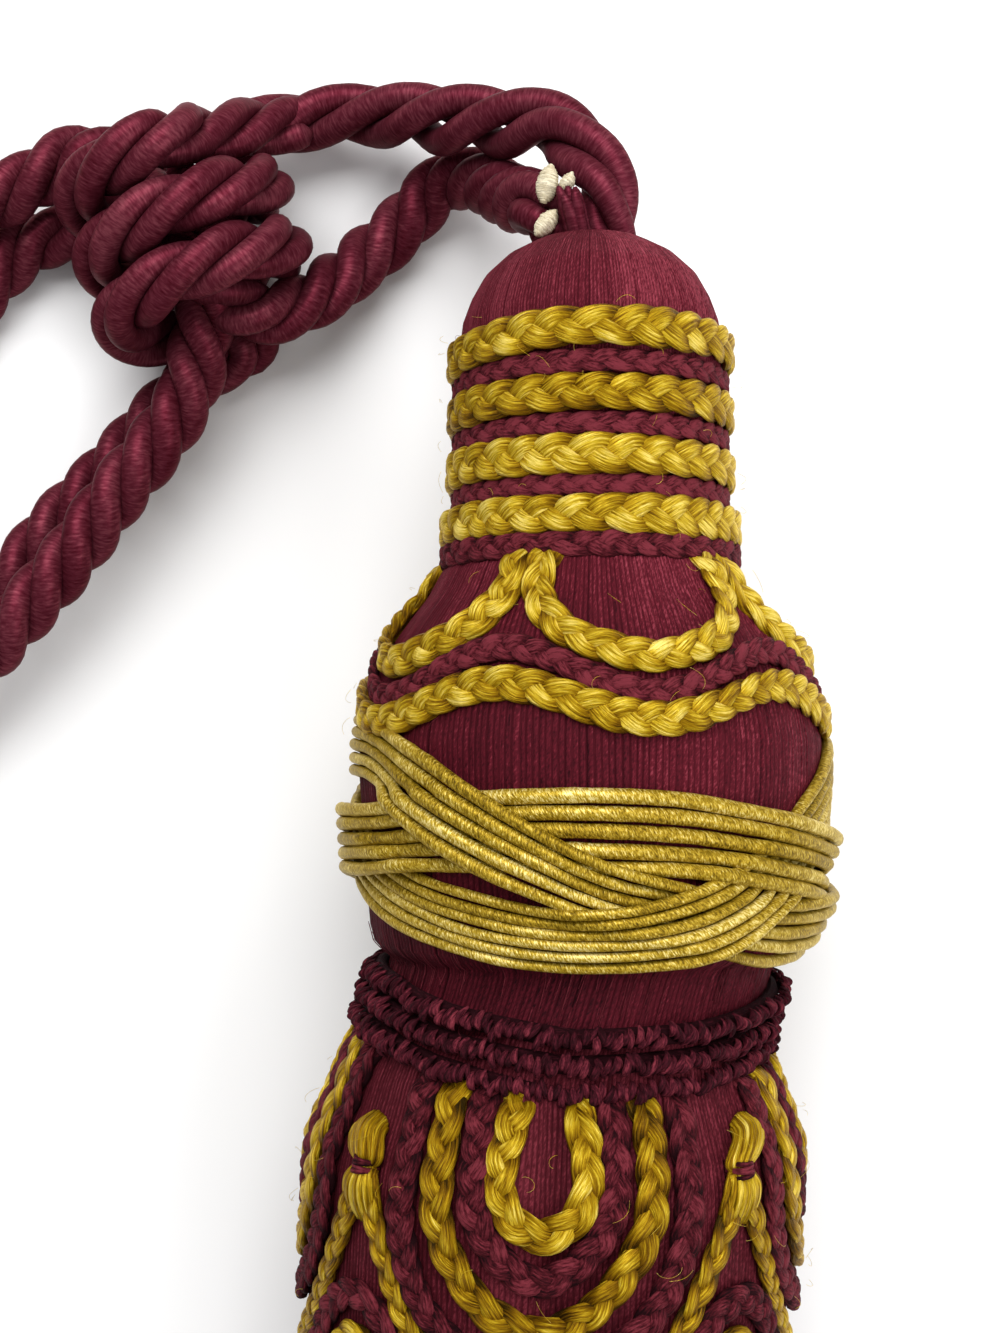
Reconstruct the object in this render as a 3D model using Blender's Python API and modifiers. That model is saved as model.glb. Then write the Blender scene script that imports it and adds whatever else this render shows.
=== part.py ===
"""Curtain tieback tassel: a rope with its tie knot and a large trimmed tassel, lying on a table.

The tassel lies along -Y with its dome towards +Y. A place on it is given by three numbers:
t, the distance from the dome's top along the axis; angle, in degrees round the axis, 0 on top
and positive towards +X; and lift, the height above the thread surface. Sizes are millimetres.
"""
import math

import bmesh
import bpy
from mathutils import Vector

MM = 0.001
GAP = 0.3                 # between neighbouring pieces
BRAID_GAP = 0.5           # under a braid laid on a curved surface
ORIGIN = Vector((0.8, 5.5, 0.0))   # the middle of the tassel's footprint

# --- the tassel's axis -------------------------------------------------------------------
AXIS_X = 6.5              # the head's axis, from the origin
DOME_Y = 143.5            # the dome's top
HEAD_TILT = math.radians(2.8)
BALL_T = 101.5            # the ball's equator
BALL_RADIUS = 37.0
AXIS_Z = 41.4             # the axis above the table, at the ball's equator
NECK_SHIFT = 5.4          # sideways step of the soft neck
NECK_SHIFT_T = (112.0, 138.0)
SKIRT_LEAN = 0.045        # sideways slope of the skirt
SKIRT_LEAN_T = 140.0

# --- turned shape under the trimmings: t, radius -----------------------------------------
HEAD_PROFILE = [
    (0.0, 0.0), (0.0, 4.2), (0.6, 7.0), (1.7, 9.7), (4.9, 14.7), (8.2, 17.8), (11.4, 19.5),
    (16.0, 21.0), (45.0, 21.4), (50.0, 22.6), (54.5, 23.2), (57.3, 24.8), (60.6, 26.6),
    (63.9, 29.2), (67.2, 31.6), (70.5, 33.8), (73.8, 35.0), (77.1, 36.0), (80.0, 36.9),
    (84.0, 37.7), (90.0, 37.8), (101.5, 37.0), (110.0, 36.5), (114.0, 36.1), (116.8, 35.0),
    (118.4, 33.2), (119.2, 31.4), (123.0, 31.4), (123.0, 0.0),
]
SKIRT_PROFILE = [
    (123.4, 31.4), (128.0, 31.4), (133.0, 31.4), (137.9, 31.4), (138.1, 34.2), (141.5, 36.2), (145.5, 38.2), (149.5, 39.2),
    (154.0, 39.5), (190.0, 39.5), (250.0, 40.0), (288.0, 41.5),
]
# --- how the skirt lies: t, axis height, table clearance, crown factor --------------------
SKIRT_LIE = [
    (123.0, 40.35, 2.4, 1.00), (150.0, 40.8, 2.4, 1.00), (180.0, 39.5, 2.4, 0.96),
    (196.0, 37.0, 2.4, 0.95), (210.0, 34.5, 0.0, 0.94), (250.0, 31.5, 0.0, 0.88),
    (288.0, 29.5, 0.0, 0.84),
]
SKIRT_SOFTEN = 3.0        # rounding where the skirt flattens
SKIRT_FLAT_T = 205.0      # it lies flat on the table from here
TILT_FADE_T = 150.0
SKIRT_SPLIT_T = 250.0     # the threads part into locks below this
SKIRT_HEM_T = 288.0
LOCK_SECTORS = 26
LOCK_RINGS = (0.34, 0.67, 1.0)
LOCK_INSET = 0.35
LOCK_TAPER = 0.94
LOCK_UNEVEN = 1.5

# --- collar braids: name, t, width, thickness, drop at the left ---------------------------
BANDS = [
    ("band_gold_1", 20.6, 5.6, 2.0, 1.6), ("band_burgundy_1", 26.2, 2.8, 1.3, 0.6),
    ("band_gold_2", 30.9, 5.6, 1.9, 0.4), ("band_burgundy_2", 35.6, 2.6, 1.3, 0.3),
    ("band_gold_3", 40.3, 5.6, 1.9, 0.0), ("band_burgundy_3", 44.9, 3.0, 1.3, 0.0),
    ("band_gold_4", 49.5, 5.6, 1.9, 0.0), ("band_burgundy_4", 54.3, 3.4, 2.0, 0.0),
]
BAND_STEPS = {"gold": 28, "burgundy": 26}
BAND_SLACK_ANGLE = -75.0

# --- swags and waves on the upper ball, five repeats --------------------------------------
REPEATS = 5
SWAG_ANGLE = 12.0
SWAG_ROUTE = [(56.6, -30.5), (60.6, -31.0), (64.4, -27.5), (68.2, -20.0), (70.7, -9.0), (71.7, 0.0)]
SWAG_WIDTH = 3.4
SWAG_THICK = 1.6
# name, mean t, swing, width, thickness
WAVES = [("wave_burgundy", 73.7, 3.4, 2.6, 1.3), ("wave_gold", 78.3, 2.65, 4.0, 1.6)]
WAVE_STEPS = 50

# --- gimp cord bundles round the ball ------------------------------------------------------
GIMP_GAP = 0.65
GIMP_THICK = 1.6
GIMP_LAYER = 2.05         # one bundle stands this far over another
GIMP_STEPS = 48
GIMP_UNDERSIDE = (1.0, 0.75, 0.22, 0.0)   # shares of the width
GIMP_CORDS = {"a": 5, "b": 5, "c": 6}
# angle, then for each bundle: upper edge and lower edge above the ball's equator, layer
GIMP_ROWS = [
    (-180.0, (6.5, -6.5, 0.0), (-7.5, -16.8, 0.0), (15.5, 1.5, 1.0)),
    (-165.0, (10.0, -3.0, 0.0), (-6.5, -16.8, 1.0), (15.0, 0.5, 1.0)),
    (-150.0, (14.0, 1.0, 0.0), (-4.0, -15.5, 2.0), (14.0, -1.0, 1.0)),
    (-135.0, (17.0, 4.0, 0.0), (-0.5, -12.5, 2.0), (13.0, -2.0, 1.0)),
    (-120.0, (19.5, 8.0, 0.0), (2.5, -9.5, 2.0), (11.5, -3.0, 1.0)),
    (-105.0, (21.2, 10.9, 0.0), (5.5, -6.5, 2.0), (10.2, -4.0, 1.0)),
    (-90.0, (22.3, 12.0, 0.0), (7.5, -4.6, 1.4), (8.5, -5.5, 0.4)),
    (-75.0, (21.3, 12.0, 1.0), (7.6, -4.0, 1.0), (5.0, -7.5, 0.0)),
    (-60.0, (19.5, 11.0, 2.0), (7.8, -3.4, 1.0), (1.0, -11.0, 0.0)),
    (-45.0, (17.3, 4.0, 2.0), (9.0, -2.4, 1.0), (-3.0, -13.2, 0.0)),
    (-30.0, (11.8, -1.5, 1.4), (10.0, -2.0, 0.4), (-5.0, -15.7, 1.0)),
    (-15.0, (5.5, -5.5, 1.0), (10.3, -2.0, 0.0), (-6.8, -16.7, 2.0)),
    (0.0, (-0.5, -9.5, 1.0), (10.3, -2.2, 0.0), (-7.4, -16.8, 2.0)),
    (15.0, (-3.2, -11.8, 1.0), (9.8, -2.4, 0.0), (-5.6, -16.3, 2.0)),
    (22.5, (-5.0, -13.5, 0.0), (9.3, -2.6, 2.0), (-4.6, -16.0, 1.0)),
    (30.0, (-6.0, -15.0, 0.0), (8.5, -3.5, 2.0), (-1.8, -15.2, 1.0)),
    (45.0, (-7.5, -16.8, 0.0), (6.8, -5.7, 2.0), (4.0, -9.0, 1.0)),
    (60.0, (-8.6, -16.8, 1.0), (4.5, -7.2, 1.5), (10.5, -3.5, 0.5)),
    (75.0, (-7.5, -16.8, 2.0), (2.8, -8.6, 1.0), (16.0, 1.8, 0.0)),
    (90.0, (-6.5, -16.8, 1.5), (1.0, -10.0, 0.5), (19.0, 5.2, 0.0)),
    (105.0, (-5.0, -16.8, 1.0), (-1.0, -12.5, 0.0), (20.8, 7.0, 0.0)),
    (120.0, (-3.0, -16.0, 1.0), (-3.0, -15.0, 0.0), (21.5, 8.0, 0.0)),
    (135.0, (0.5, -12.5, 1.0), (-4.5, -16.5, 0.0), (21.0, 8.0, 0.8)),
    (150.0, (3.5, -9.0, 1.0), (-6.0, -16.8, 0.0), (19.4, 6.6, 1.7)),
    (157.5, (4.6, -6.9, 1.0), (-7.2, -16.8, 0.0), (19.0, 5.2, 2.0)),
    (165.0, (5.5, -6.7, 0.5), (-7.4, -16.8, 0.0), (18.4, 3.8, 1.5)),
    (180.0, (6.5, -6.5, 0.0), (-7.5, -16.8, 0.0), (15.5, 1.5, 1.0)),
]

# --- crocheted ruffles --------------------------------------------------------------------
RUFFLE_ROWS = 3
RUFFLE_PITCH = 3.7
RUFFLE_HALF = 1.6
RUFFLE_INNER = 32.0
RUFFLE_OUTER = 35.6
RUFFLE_STEPS = 36
# angle, t of the middle row
RUFFLE_LINE = [
    (-180.0, 125.0), (-90.0, 125.0), (-65.0, 126.0), (-35.0, 129.3), (0.0, 132.0), (35.0, 131.8),
    (70.0, 129.8), (90.0, 128.6), (135.0, 126.5), (180.0, 125.0),
]

# --- braids sewn on the skirt, four repeats -----------------------------------------------
MOTIFS = 4
U_ANGLE = -4.0
TUFT_FROM_U = 46.5
BRAID_THICK = 1.4
# name: width, half route from the ruffle down to the middle of the U as (t, angle)
U_BRAIDS = {
    "u_gold_inner": (4.4, [(139.7, 8.4), (145.0, 9.0), (149.3, 8.0), (152.4, 4.6), (153.6, 0.0)]),
    "u_burgundy_inner": (3.4, [(139.7, 15.4), (148.0, 15.2), (154.0, 12.0), (158.2, 7.0),
                               (160.4, 0.0)]),
    "u_gold_outer": (4.8, [(139.7, 23.6), (147.0, 23.2), (154.0, 21.6), (161.0, 16.0),
                           (165.8, 9.0), (168.2, 0.0)]),
    "u_burgundy_outer": (3.2, [(139.7, 32.2), (146.0, 31.6), (153.0, 31.4), (160.0, 29.2),
                               (165.5, 25.0), (169.8, 19.0), (173.2, 11.0), (174.8, 0.0)]),
}
ARCHES = {
    "arch_burgundy": (3.6, [(193.0, 18.5), (186.0, 18.0), (179.0, 16.5), (172.8, 11.8),
                            (168.3, 6.0), (166.8, 0.0)]),
    "arch_gold": (3.6, [(193.0, 9.8), (186.0, 9.4), (179.5, 8.0), (175.0, 4.4), (173.2, 0.0)]),
}
LEG_WIDTH = 3.2
LEG_ROUTE = [(188.5, 42.0), (185.0, 36.0), (179.0, 27.0), (173.0, 19.0), (168.0, 14.0),
             (163.0, 10.0), (158.0, 6.6), (152.6, 4.0), (148.2, 0.0)]
KNOB_T = 144.8
KNOB_SIZE = (3.2, 5.6, 2.0)   # half width, half length, half thickness
KNOB_LIFT = 2.4
BRAID_STEP = 5.4

# --- rope ----------------------------------------------------------------------------------
ROPE_RADIUS = 5.75
ROPE_VALLEY = 4.1
ROPE_LAY = 26.5
ROPE_STRANDS = 3
ROPE_STEP = 4.3
KNOT_RADIUS = 5.35
KNOT_VALLEY = 4.0
KNOT_CENTRE = Vector((-64.6, 150.5, 20.0))
KNOT_ROW = Vector((0.956, 0.292, 0.0))       # along a wrap, seen from above
KNOT_AXIS = Vector((0.292, -0.956, 0.0))     # from the first wrap to the last
KNOT_PITCH = 11.3
KNOT_HALF_WIDTH = 15.7
KNOT_HALF_HEIGHT = 14.5
KNOT_FIRST_HALF_WIDTH = 7.0                  # where the first wrap starts over the leg
KNOT_ANGLES = (25.0, 934.0)                  # 90 is the top of the first wrap
DOME_END = 0.8                               # the rope is drawn in where it enters the dome

ROPE_LEG_UPPER = [
    (10.0, 144.9, 46.6), (9.1, 150.0, 46.6), (5.9, 156.6, 43.4), (0.8, 162.9, 38.0),
    (-8.3, 166.0, 30.0), (-19.0, 169.3, 21.5), (-30.3, 172.7, 13.0), (-41.6, 173.4, 9.3),
    (-52.4, 171.4, 9.3), (-60.5, 168.8, 9.5),
]
ROPE_LEG_LOWER = [
    (-1.1, 145.6, 46.2), (-2.8, 149.0, 42.5), (-5.6, 152.2, 32.4), (-11.5, 159.8, 16.2),
    (-16.6, 162.0, 9.2), (-21.8, 159.6, 6.3), (-27.0, 153.9, 6.0), (-34.3, 147.1, 7.5),
    (-41.2, 140.3, 12.5), (-47.6, 136.4, 16.0), (-52.6, 135.6, 18.6), (-56.9, 137.2, 19.9),
]
EAR_UPPER = [
    (-84.0, 164.9, 15.6), (-90.5, 161.2, 16.0), (-99.5, 156.8, 15.2), (-111.0, 151.6, 13.0),
    (-124.0, 147.0, 9.5), (-140.0, 142.5, 6.4), (-160.0, 138.5, 5.8), (-181.0, 132.5, 5.8),
    (-196.0, 120.0, 5.8), (-200.0, 104.0, 5.8), (-192.0, 90.5, 5.8), (-177.0, 85.5, 5.8),
    (-160.5, 89.0, 5.8), (-145.5, 98.0, 5.8), (-131.5, 111.0, 5.8), (-119.0, 125.0, 5.8),
    (-108.5, 138.0, 5.8), (-101.8, 146.0, 5.8), (-95.2, 151.4, 5.8), (-88.5, 152.6, 5.8),
]
EAR_LOWER = [
    (-61.6, 132.7, 19.3), (-64.0, 122.2, 18.1), (-69.6, 112.8, 17.6), (-76.8, 103.8, 17.5),
    (-87.8, 89.4, 16.5), (-99.0, 77.0, 15.5), (-115.5, 60.0, 11.0), (-128.5, 42.0, 6.6),
    (-137.5, 18.0, 5.8), (-145.5, -8.0, 5.8), (-158.5, -26.0, 5.8), (-175.5, -30.0, 5.8),
    (-187.5, -18.0, 5.8), (-185.5, 4.0, 5.8), (-173.5, 26.0, 5.8), (-153.5, 48.0, 5.8),
    (-134.5, 64.0, 5.8), (-116.5, 76.0, 5.8), (-101.8, 86.1, 5.8), (-91.5, 98.1, 5.8),
    (-81.2, 108.7, 5.8), (-73.7, 117.1, 5.8), (-67.2, 124.0, 5.8), (-61.6, 128.4, 5.8),
    (-56.3, 130.6, 5.8),
]
STUB_BASE = (4.6, 144.2, 53.2)
STUB_TIP = (2.4, 150.0, 56.2)
STUB_RADIUS = 1.9
CORE_ENDS = [
    ((-2.2, 148.9, 49.4), (1.3, 153.5, 49.2), 1.0),
    ((-7.6, 145.3, 50.6), (-3.7, 147.2, 51.0), 1.3),
]

COLOURS = {
    "burgundy": ((0.165, 0.014, 0.040, 1.0), 0.75),
    "gold": ((0.52, 0.33, 0.018, 1.0), 0.42),
    "cotton": ((0.72, 0.66, 0.55, 1.0), 0.9),
    "core": ((0.08, 0.008, 0.02, 1.0), 0.85),
}


# --- small helpers -------------------------------------------------------------------------
def clear_scene():
    for obj in list(bpy.data.objects):
        bpy.data.objects.remove(obj, do_unlink=True)


def make_material(kind):
    """The Principled material of one kind of yarn."""
    existing = bpy.data.materials.get(kind)
    if existing:
        return existing
    material = bpy.data.materials.new(kind)
    material.use_nodes = True
    shader = material.node_tree.nodes["Principled BSDF"]
    colour, roughness = COLOURS[kind]
    shader.inputs["Base Color"].default_value = colour
    shader.inputs["Roughness"].default_value = roughness
    return material


def add_object(name, mesh, kind, smooth=40.0):
    """Put a mesh in the tassel's collection, with its material and smooth shading."""
    obj = bpy.data.objects.new(name, mesh)
    COLLECTION.objects.link(obj)
    mesh.materials.append(make_material(kind))
    mesh.shade_smooth()
    mesh.set_sharp_from_angle(angle=math.radians(smooth))
    return obj


def metres(point):
    return (Vector(point) - ORIGIN) * MM


def table_value(table, key, column):
    """Straight interpolation in a table whose first column rises."""
    if key <= table[0][0]:
        return table[0][column]
    for low, high in zip(table, table[1:]):
        if key <= high[0]:
            if high[0] == low[0]:
                continue
            part = (key - low[0]) / (high[0] - low[0])
            return low[column] + part * (high[column] - low[column])
    return table[-1][column]


def smooth_step(value):
    value = min(max(value, 0.0), 1.0)
    return value * value * (3.0 - 2.0 * value)


def catmull_rom(points, closed=False):
    """A function of u in 0..1 that runs smoothly through the points."""
    points = [Vector(p) for p in points]
    count = len(points)
    spans = count if closed else count - 1

    def pick(index):
        if closed:
            return points[index % count]
        if index < 0:
            return points[0] * 2.0 - points[1]
        if index >= count:
            return points[-1] * 2.0 - points[-2]
        return points[index]

    def curve(u):
        place = min(max(u, 0.0), 1.0) * spans
        span = min(int(place), spans - 1)
        f = place - span
        a, b, c, d = (pick(span + k) for k in (-1, 0, 1, 2))
        return 0.5 * (2.0 * b + (c - a) * f + (2.0 * a - 5.0 * b + 4.0 * c - d) * f * f
                      + (3.0 * b - a - 3.0 * c + d) * f * f * f)

    return curve


def even_points(curve, step, fine=600):
    """Points a step apart along a curve, both ends kept."""
    dense = [curve(k / fine) for k in range(fine + 1)]
    lengths = [0.0]
    for a, b in zip(dense, dense[1:]):
        lengths.append(lengths[-1] + (b - a).length)
    count = max(2, round(lengths[-1] / step))
    points = []
    index = 0
    for k in range(count + 1):
        want = lengths[-1] * k / count
        while index < fine - 1 and lengths[index + 1] < want:
            index += 1
        span = lengths[index + 1] - lengths[index]
        part = 0.0 if span == 0 else (want - lengths[index]) / span
        points.append(dense[index].lerp(dense[index + 1], min(part, 1.0)))
    return points


def skin_rings(name, rings, kind, closed=False, smooth=40.0):
    """One closed solid from rings of points: joined end to end, or capped."""
    mesh_data = bmesh.new()
    rows = [[mesh_data.verts.new(metres(p)) for p in ring] for ring in rings]
    pairs = list(zip(rows, rows[1:]))
    if closed:
        pairs.append((rows[-1], rows[0]))
    size = len(rings[0])
    for row, following in pairs:
        for k in range(size):
            n = (k + 1) % size
            mesh_data.faces.new((row[k], row[n], following[n], following[k]))
    if not closed:
        mesh_data.faces.new(list(reversed(rows[0])))
        mesh_data.faces.new(rows[-1])
    bmesh.ops.recalc_face_normals(mesh_data, faces=mesh_data.faces)
    mesh = bpy.data.meshes.new(name)
    mesh_data.to_mesh(mesh)
    mesh_data.free()
    return add_object(name, mesh, kind, smooth)


# --- the tassel's own coordinates ----------------------------------------------------------
def axis_offset(t):
    """Sideways shift of the axis at t, from the straight head."""
    low, high = NECK_SHIFT_T
    return -NECK_SHIFT * smooth_step((t - low) / (high - low)) - SKIRT_LEAN * max(t - SKIRT_LEAN_T, 0.0)


def axis_point(t):
    if t <= SKIRT_LIE[0][0]:
        height = AXIS_Z + (BALL_T - t) * math.sin(HEAD_TILT)
    else:
        height = table_value(SKIRT_LIE, t, 1)
    return Vector((AXIS_X + axis_offset(t), DOME_Y - t * math.cos(HEAD_TILT), height))


def surface_radius(t):
    if t <= HEAD_PROFILE[-2][0]:
        return table_value(HEAD_PROFILE[1:-1], t, 1)
    return table_value(SKIRT_PROFILE, t, 1)


def axis_tilt(t):
    low = SKIRT_LIE[0][0]
    return HEAD_TILT * (1.0 - smooth_step((t - low) / (TILT_FADE_T - low)))


def on_tassel(t, angle, lift=0.0, radius=None):
    """The point at t and angle, lifted off the thread surface or at a radius of its own."""
    turn = math.radians(angle)
    core = surface_radius(t) if radius is None else radius
    centre = axis_point(t)
    rise = math.cos(turn) * (core + lift)
    if t > SKIRT_LIE[0][0]:
        if rise > 0.0:
            rise = math.cos(turn) * (core * table_value(SKIRT_LIE, t, 3) + lift)
        rise = lie_flat(t, centre.z, rise, lift)
    tilt = axis_tilt(t)
    return centre + Vector((math.sin(turn) * (core + lift), rise * math.sin(tilt), rise * math.cos(tilt)))


def lie_flat(t, axis_height, rise, lift):
    """Keep the skirt's underside above the table: rounded at first, then flat."""
    floor = table_value(SKIRT_LIE, t, 2) - lift
    height = axis_height + rise
    if t >= SKIRT_FLAT_T:
        return max(height, floor) - axis_height
    return 0.5 * (height + floor + math.hypot(height - floor, SKIRT_SOFTEN)) - axis_height


# --- head -----------------------------------------------------------------------------------
def build_head():
    """The thread-covered mould: a turned profile, its lower end stepped over with the neck."""
    profile = bpy.data.meshes.new("head_profile")
    points = [(radius * MM, 0.0, -t * MM) for t, radius in HEAD_PROFILE]
    profile.from_pydata(points, [(k, k + 1) for k in range(len(points) - 1)], [])
    turned = bpy.data.objects.new("head_profile", profile)
    COLLECTION.objects.link(turned)
    screw = turned.modifiers.new("Turn", "SCREW")
    screw.steps = screw.render_steps = 30
    screw.use_merge_vertices = True
    screw.merge_threshold = 0.00001
    evaluated = turned.evaluated_get(bpy.context.evaluated_depsgraph_get())
    mesh = bpy.data.meshes.new_from_object(evaluated)
    bpy.data.objects.remove(turned, do_unlink=True)
    for vertex in mesh.vertices:
        x, y, z = (value / MM for value in vertex.co)
        t = -z
        centre = axis_point(t)
        up = Vector((0.0, math.sin(HEAD_TILT), math.cos(HEAD_TILT)))
        vertex.co = metres(centre + Vector((x, 0.0, 0.0)) + up * y)
    tidy = bmesh.new()
    tidy.from_mesh(mesh)
    bmesh.ops.recalc_face_normals(tidy, faces=tidy.faces)
    tidy.to_mesh(mesh)
    tidy.free()
    add_object("head", mesh, "burgundy")


# --- braids on the tassel ---------------------------------------------------------------------
def braid_section(centre_t, angle, across, width, thick, bulge):
    """Four corners of a flat braid's section; across is its unit direction as (dt, darc)."""
    base = surface_radius(centre_t)
    corners = []
    for side, lift in ((-0.5, BRAID_GAP), (-0.36, BRAID_GAP + thick * (1.0 - bulge)),
                       (0.36, BRAID_GAP + thick * (1.0 + bulge)), (0.5, BRAID_GAP)):
        t = centre_t + across[0] * side * width
        arc = math.degrees(across[1] * side * width / base)
        corners.append(on_tassel(t, angle + arc, lift))
    return corners


def braid_along(name, route, width, thick, kind, step=BRAID_STEP):
    """A flat braid along a route of (t, angle) points."""
    curve = catmull_rom([(t, math.radians(angle) * 38.0, 0.0) for t, angle in route])
    line = even_points(curve, step)
    rings = []
    for index, point in enumerate(line):
        before = line[max(index - 1, 0)]
        after = line[min(index + 1, len(line) - 1)]
        along = (after - before).normalized()
        across = (-along.y, along.x)
        bulge = 0.14 if index % 2 else -0.14
        angle = math.degrees(point.y / 38.0)
        rings.append(braid_section(point.x, angle, across, width, thick, bulge))
    return skin_rings(name, rings, kind)


def build_bands():
    """The plaited braids wound round the collar, the first one slack at the left."""
    for name, centre_t, width, thick, drop in BANDS:
        kind = "gold" if "gold" in name else "burgundy"
        steps = BAND_STEPS[kind]
        rings = []
        for k in range(steps):
            angle = 360.0 * k / steps
            slack = math.cos(math.radians(angle - BAND_SLACK_ANGLE))
            t = centre_t + drop * max(slack, 0.0) ** 3
            bulge = 0.14 if k % 2 else -0.14
            rings.append(braid_section(t, angle, (1.0, 0.0), width, thick, bulge))
        skin_rings(name, rings, kind, closed=True)


def build_swags():
    """The gold braid swags that hang from under the collar."""
    half = SWAG_ROUTE + [(t, -angle) for t, angle in reversed(SWAG_ROUTE[:-1])]
    for k in range(REPEATS):
        turn = SWAG_ANGLE + 360.0 * k / REPEATS
        route = [(t, angle + turn) for t, angle in half]
        braid_along(f"swag_gold_{k + 1}", route, SWAG_WIDTH, SWAG_THICK, "gold", step=4.4)


def build_waves():
    """The two wavy braids round the upper ball."""
    for name, mean_t, swing, width, thick in WAVES:
        kind = "gold" if "gold" in name else "burgundy"
        rings = []
        for k in range(WAVE_STEPS):
            angle = 360.0 * k / WAVE_STEPS
            phase = math.radians(REPEATS * (angle - SWAG_ANGLE))
            bulge = 0.14 if k % 2 else -0.14
            rings.append(braid_section(mean_t + swing * math.cos(phase), angle, (1.0, 0.0),
                                       width, thick, bulge))
        skin_rings(name, rings, kind, closed=True)


# --- gimp cord bundles ------------------------------------------------------------------------
def gimp_row(column, angle):
    """Upper edge, lower edge and layer of one bundle at an angle."""
    for low, high in zip(GIMP_ROWS, GIMP_ROWS[1:]):
        if angle <= high[0]:
            part = (angle - low[0]) / (high[0] - low[0])
            return [a + part * (b - a) for a, b in zip(low[column], high[column])]
    return list(GIMP_ROWS[-1][column])


def build_gimp():
    """Three bundles of ribbed cord, each over one neighbour and under the other."""
    for column, (key, cords) in enumerate(GIMP_CORDS.items(), start=1):
        rings = []
        for k in range(GIMP_STEPS):
            angle = -180.0 + 360.0 * k / GIMP_STEPS
            upper, lower, layer = gimp_row(column, angle)
            base = GIMP_GAP + layer * GIMP_LAYER
            ring = []
            for n in range(2 * cords - 1):
                height = lower + (upper - lower) * (n + 1) / (2.0 * cords)
                ring.append((height, base + (GIMP_THICK if n % 2 == 0 else 0.7 * GIMP_THICK)))
            for share in GIMP_UNDERSIDE:
                ring.append((lower + (upper - lower) * share, base))
            points = [on_tassel(BALL_T - height, angle, lift) for height, lift in ring]
            for point in points:
                point.z = max(point.z, 0.0)
            rings.append(points)
        skin_rings(f"gimp_bundle_{key}", rings, "gold", closed=True, smooth=25.0)


# --- ruffles, skirt ---------------------------------------------------------------------------
def build_ruffles():
    """Three lumpy crocheted rows round the neck, higher at the left."""
    for row in range(RUFFLE_ROWS):
        rings = []
        for k in range(RUFFLE_STEPS):
            angle = -180.0 + 360.0 * k / RUFFLE_STEPS
            t = table_value(RUFFLE_LINE, angle, 1) + (row - 1) * RUFFLE_PITCH
            outer = RUFFLE_OUTER - (0.8 if (k + row) % 2 else 0.0)
            middle = (RUFFLE_INNER + outer) / 2.0
            section = ((-0.7, RUFFLE_INNER), (-1.0, middle), (0.0, outer), (1.0, middle),
                       (0.7, RUFFLE_INNER))
            rings.append([on_tassel(t + side * RUFFLE_HALF, angle, radius=radius)
                          for side, radius in section])
        skin_rings(f"ruffle_{row + 1}", rings, "burgundy", closed=True)


def build_skirt():
    """The thread skirt: one solid body whose lower end parts into locks."""
    stations = [t for t, _ in SKIRT_PROFILE if t < SKIRT_SPLIT_T]
    stations += [166.0, 178.0, 196.0, 210.0, 230.0, SKIRT_SPLIT_T]
    stations.sort()
    work = bmesh.new()
    angles = [360.0 * k / LOCK_SECTORS for k in range(LOCK_SECTORS)]
    rows = [[work.verts.new(metres(on_tassel(t, a))) for a in angles] for t in stations]
    for row, following in zip(rows, rows[1:]):
        for k in range(LOCK_SECTORS):
            n = (k + 1) % LOCK_SECTORS
            work.faces.new((row[k], row[n], following[n], following[k]))
    work.faces.new(list(reversed(rows[0])))
    centre = axis_point(SKIRT_SPLIT_T)
    cap_rows = [[work.verts.new(metres(centre.lerp(on_tassel(SKIRT_SPLIT_T, a), share)))
                 for a in angles] for share in LOCK_RINGS[:-1]]
    cap_rows.append(rows[-1])
    work.faces.new(cap_rows[0])
    lock_faces = []
    for row, following in zip(cap_rows, cap_rows[1:]):
        for k in range(LOCK_SECTORS):
            n = (k + 1) % LOCK_SECTORS
            lock_faces.append(work.faces.new((row[k], row[n], following[n], following[k])))
    bmesh.ops.recalc_face_normals(work, faces=work.faces)
    bmesh.ops.inset_individual(work, faces=lock_faces, thickness=LOCK_INSET * MM)
    split = bmesh.ops.extrude_discrete_faces(work, faces=lock_faces)["faces"]
    for number, face in enumerate(split):
        hang_lock(face, number)
    bmesh.ops.recalc_face_normals(work, faces=work.faces)
    mesh = bpy.data.meshes.new("skirt")
    work.to_mesh(mesh)
    work.free()
    add_object("skirt", mesh, "burgundy", smooth=50.0)


def hang_lock(face, number):
    """Draw one lock of threads out to the hem, a little thinner and uneven at its tip."""
    spread = surface_radius(SKIRT_HEM_T) / surface_radius(SKIRT_SPLIT_T)
    start = axis_point(SKIRT_SPLIT_T)
    tip_t = SKIRT_HEM_T - LOCK_UNEVEN * (1.0 + math.sin(number * 2.4))
    end = axis_point(tip_t)
    squash = (end.z / start.z)
    middle = face.calc_center_median() / MM + ORIGIN
    for vertex in face.verts:
        place = vertex.co / MM + ORIGIN
        place = middle + (place - middle) * LOCK_TAPER
        x = end.x + (place.x - start.x) * spread
        z = place.z * squash
        if z < 1.2:
            z = 0.0
        vertex.co = metres((x, end.y, z))


# --- braids and tufts on the skirt --------------------------------------------------------------
def mirrored(route):
    return route + [(t, -angle) for t, angle in reversed(route[:-1])]


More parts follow.
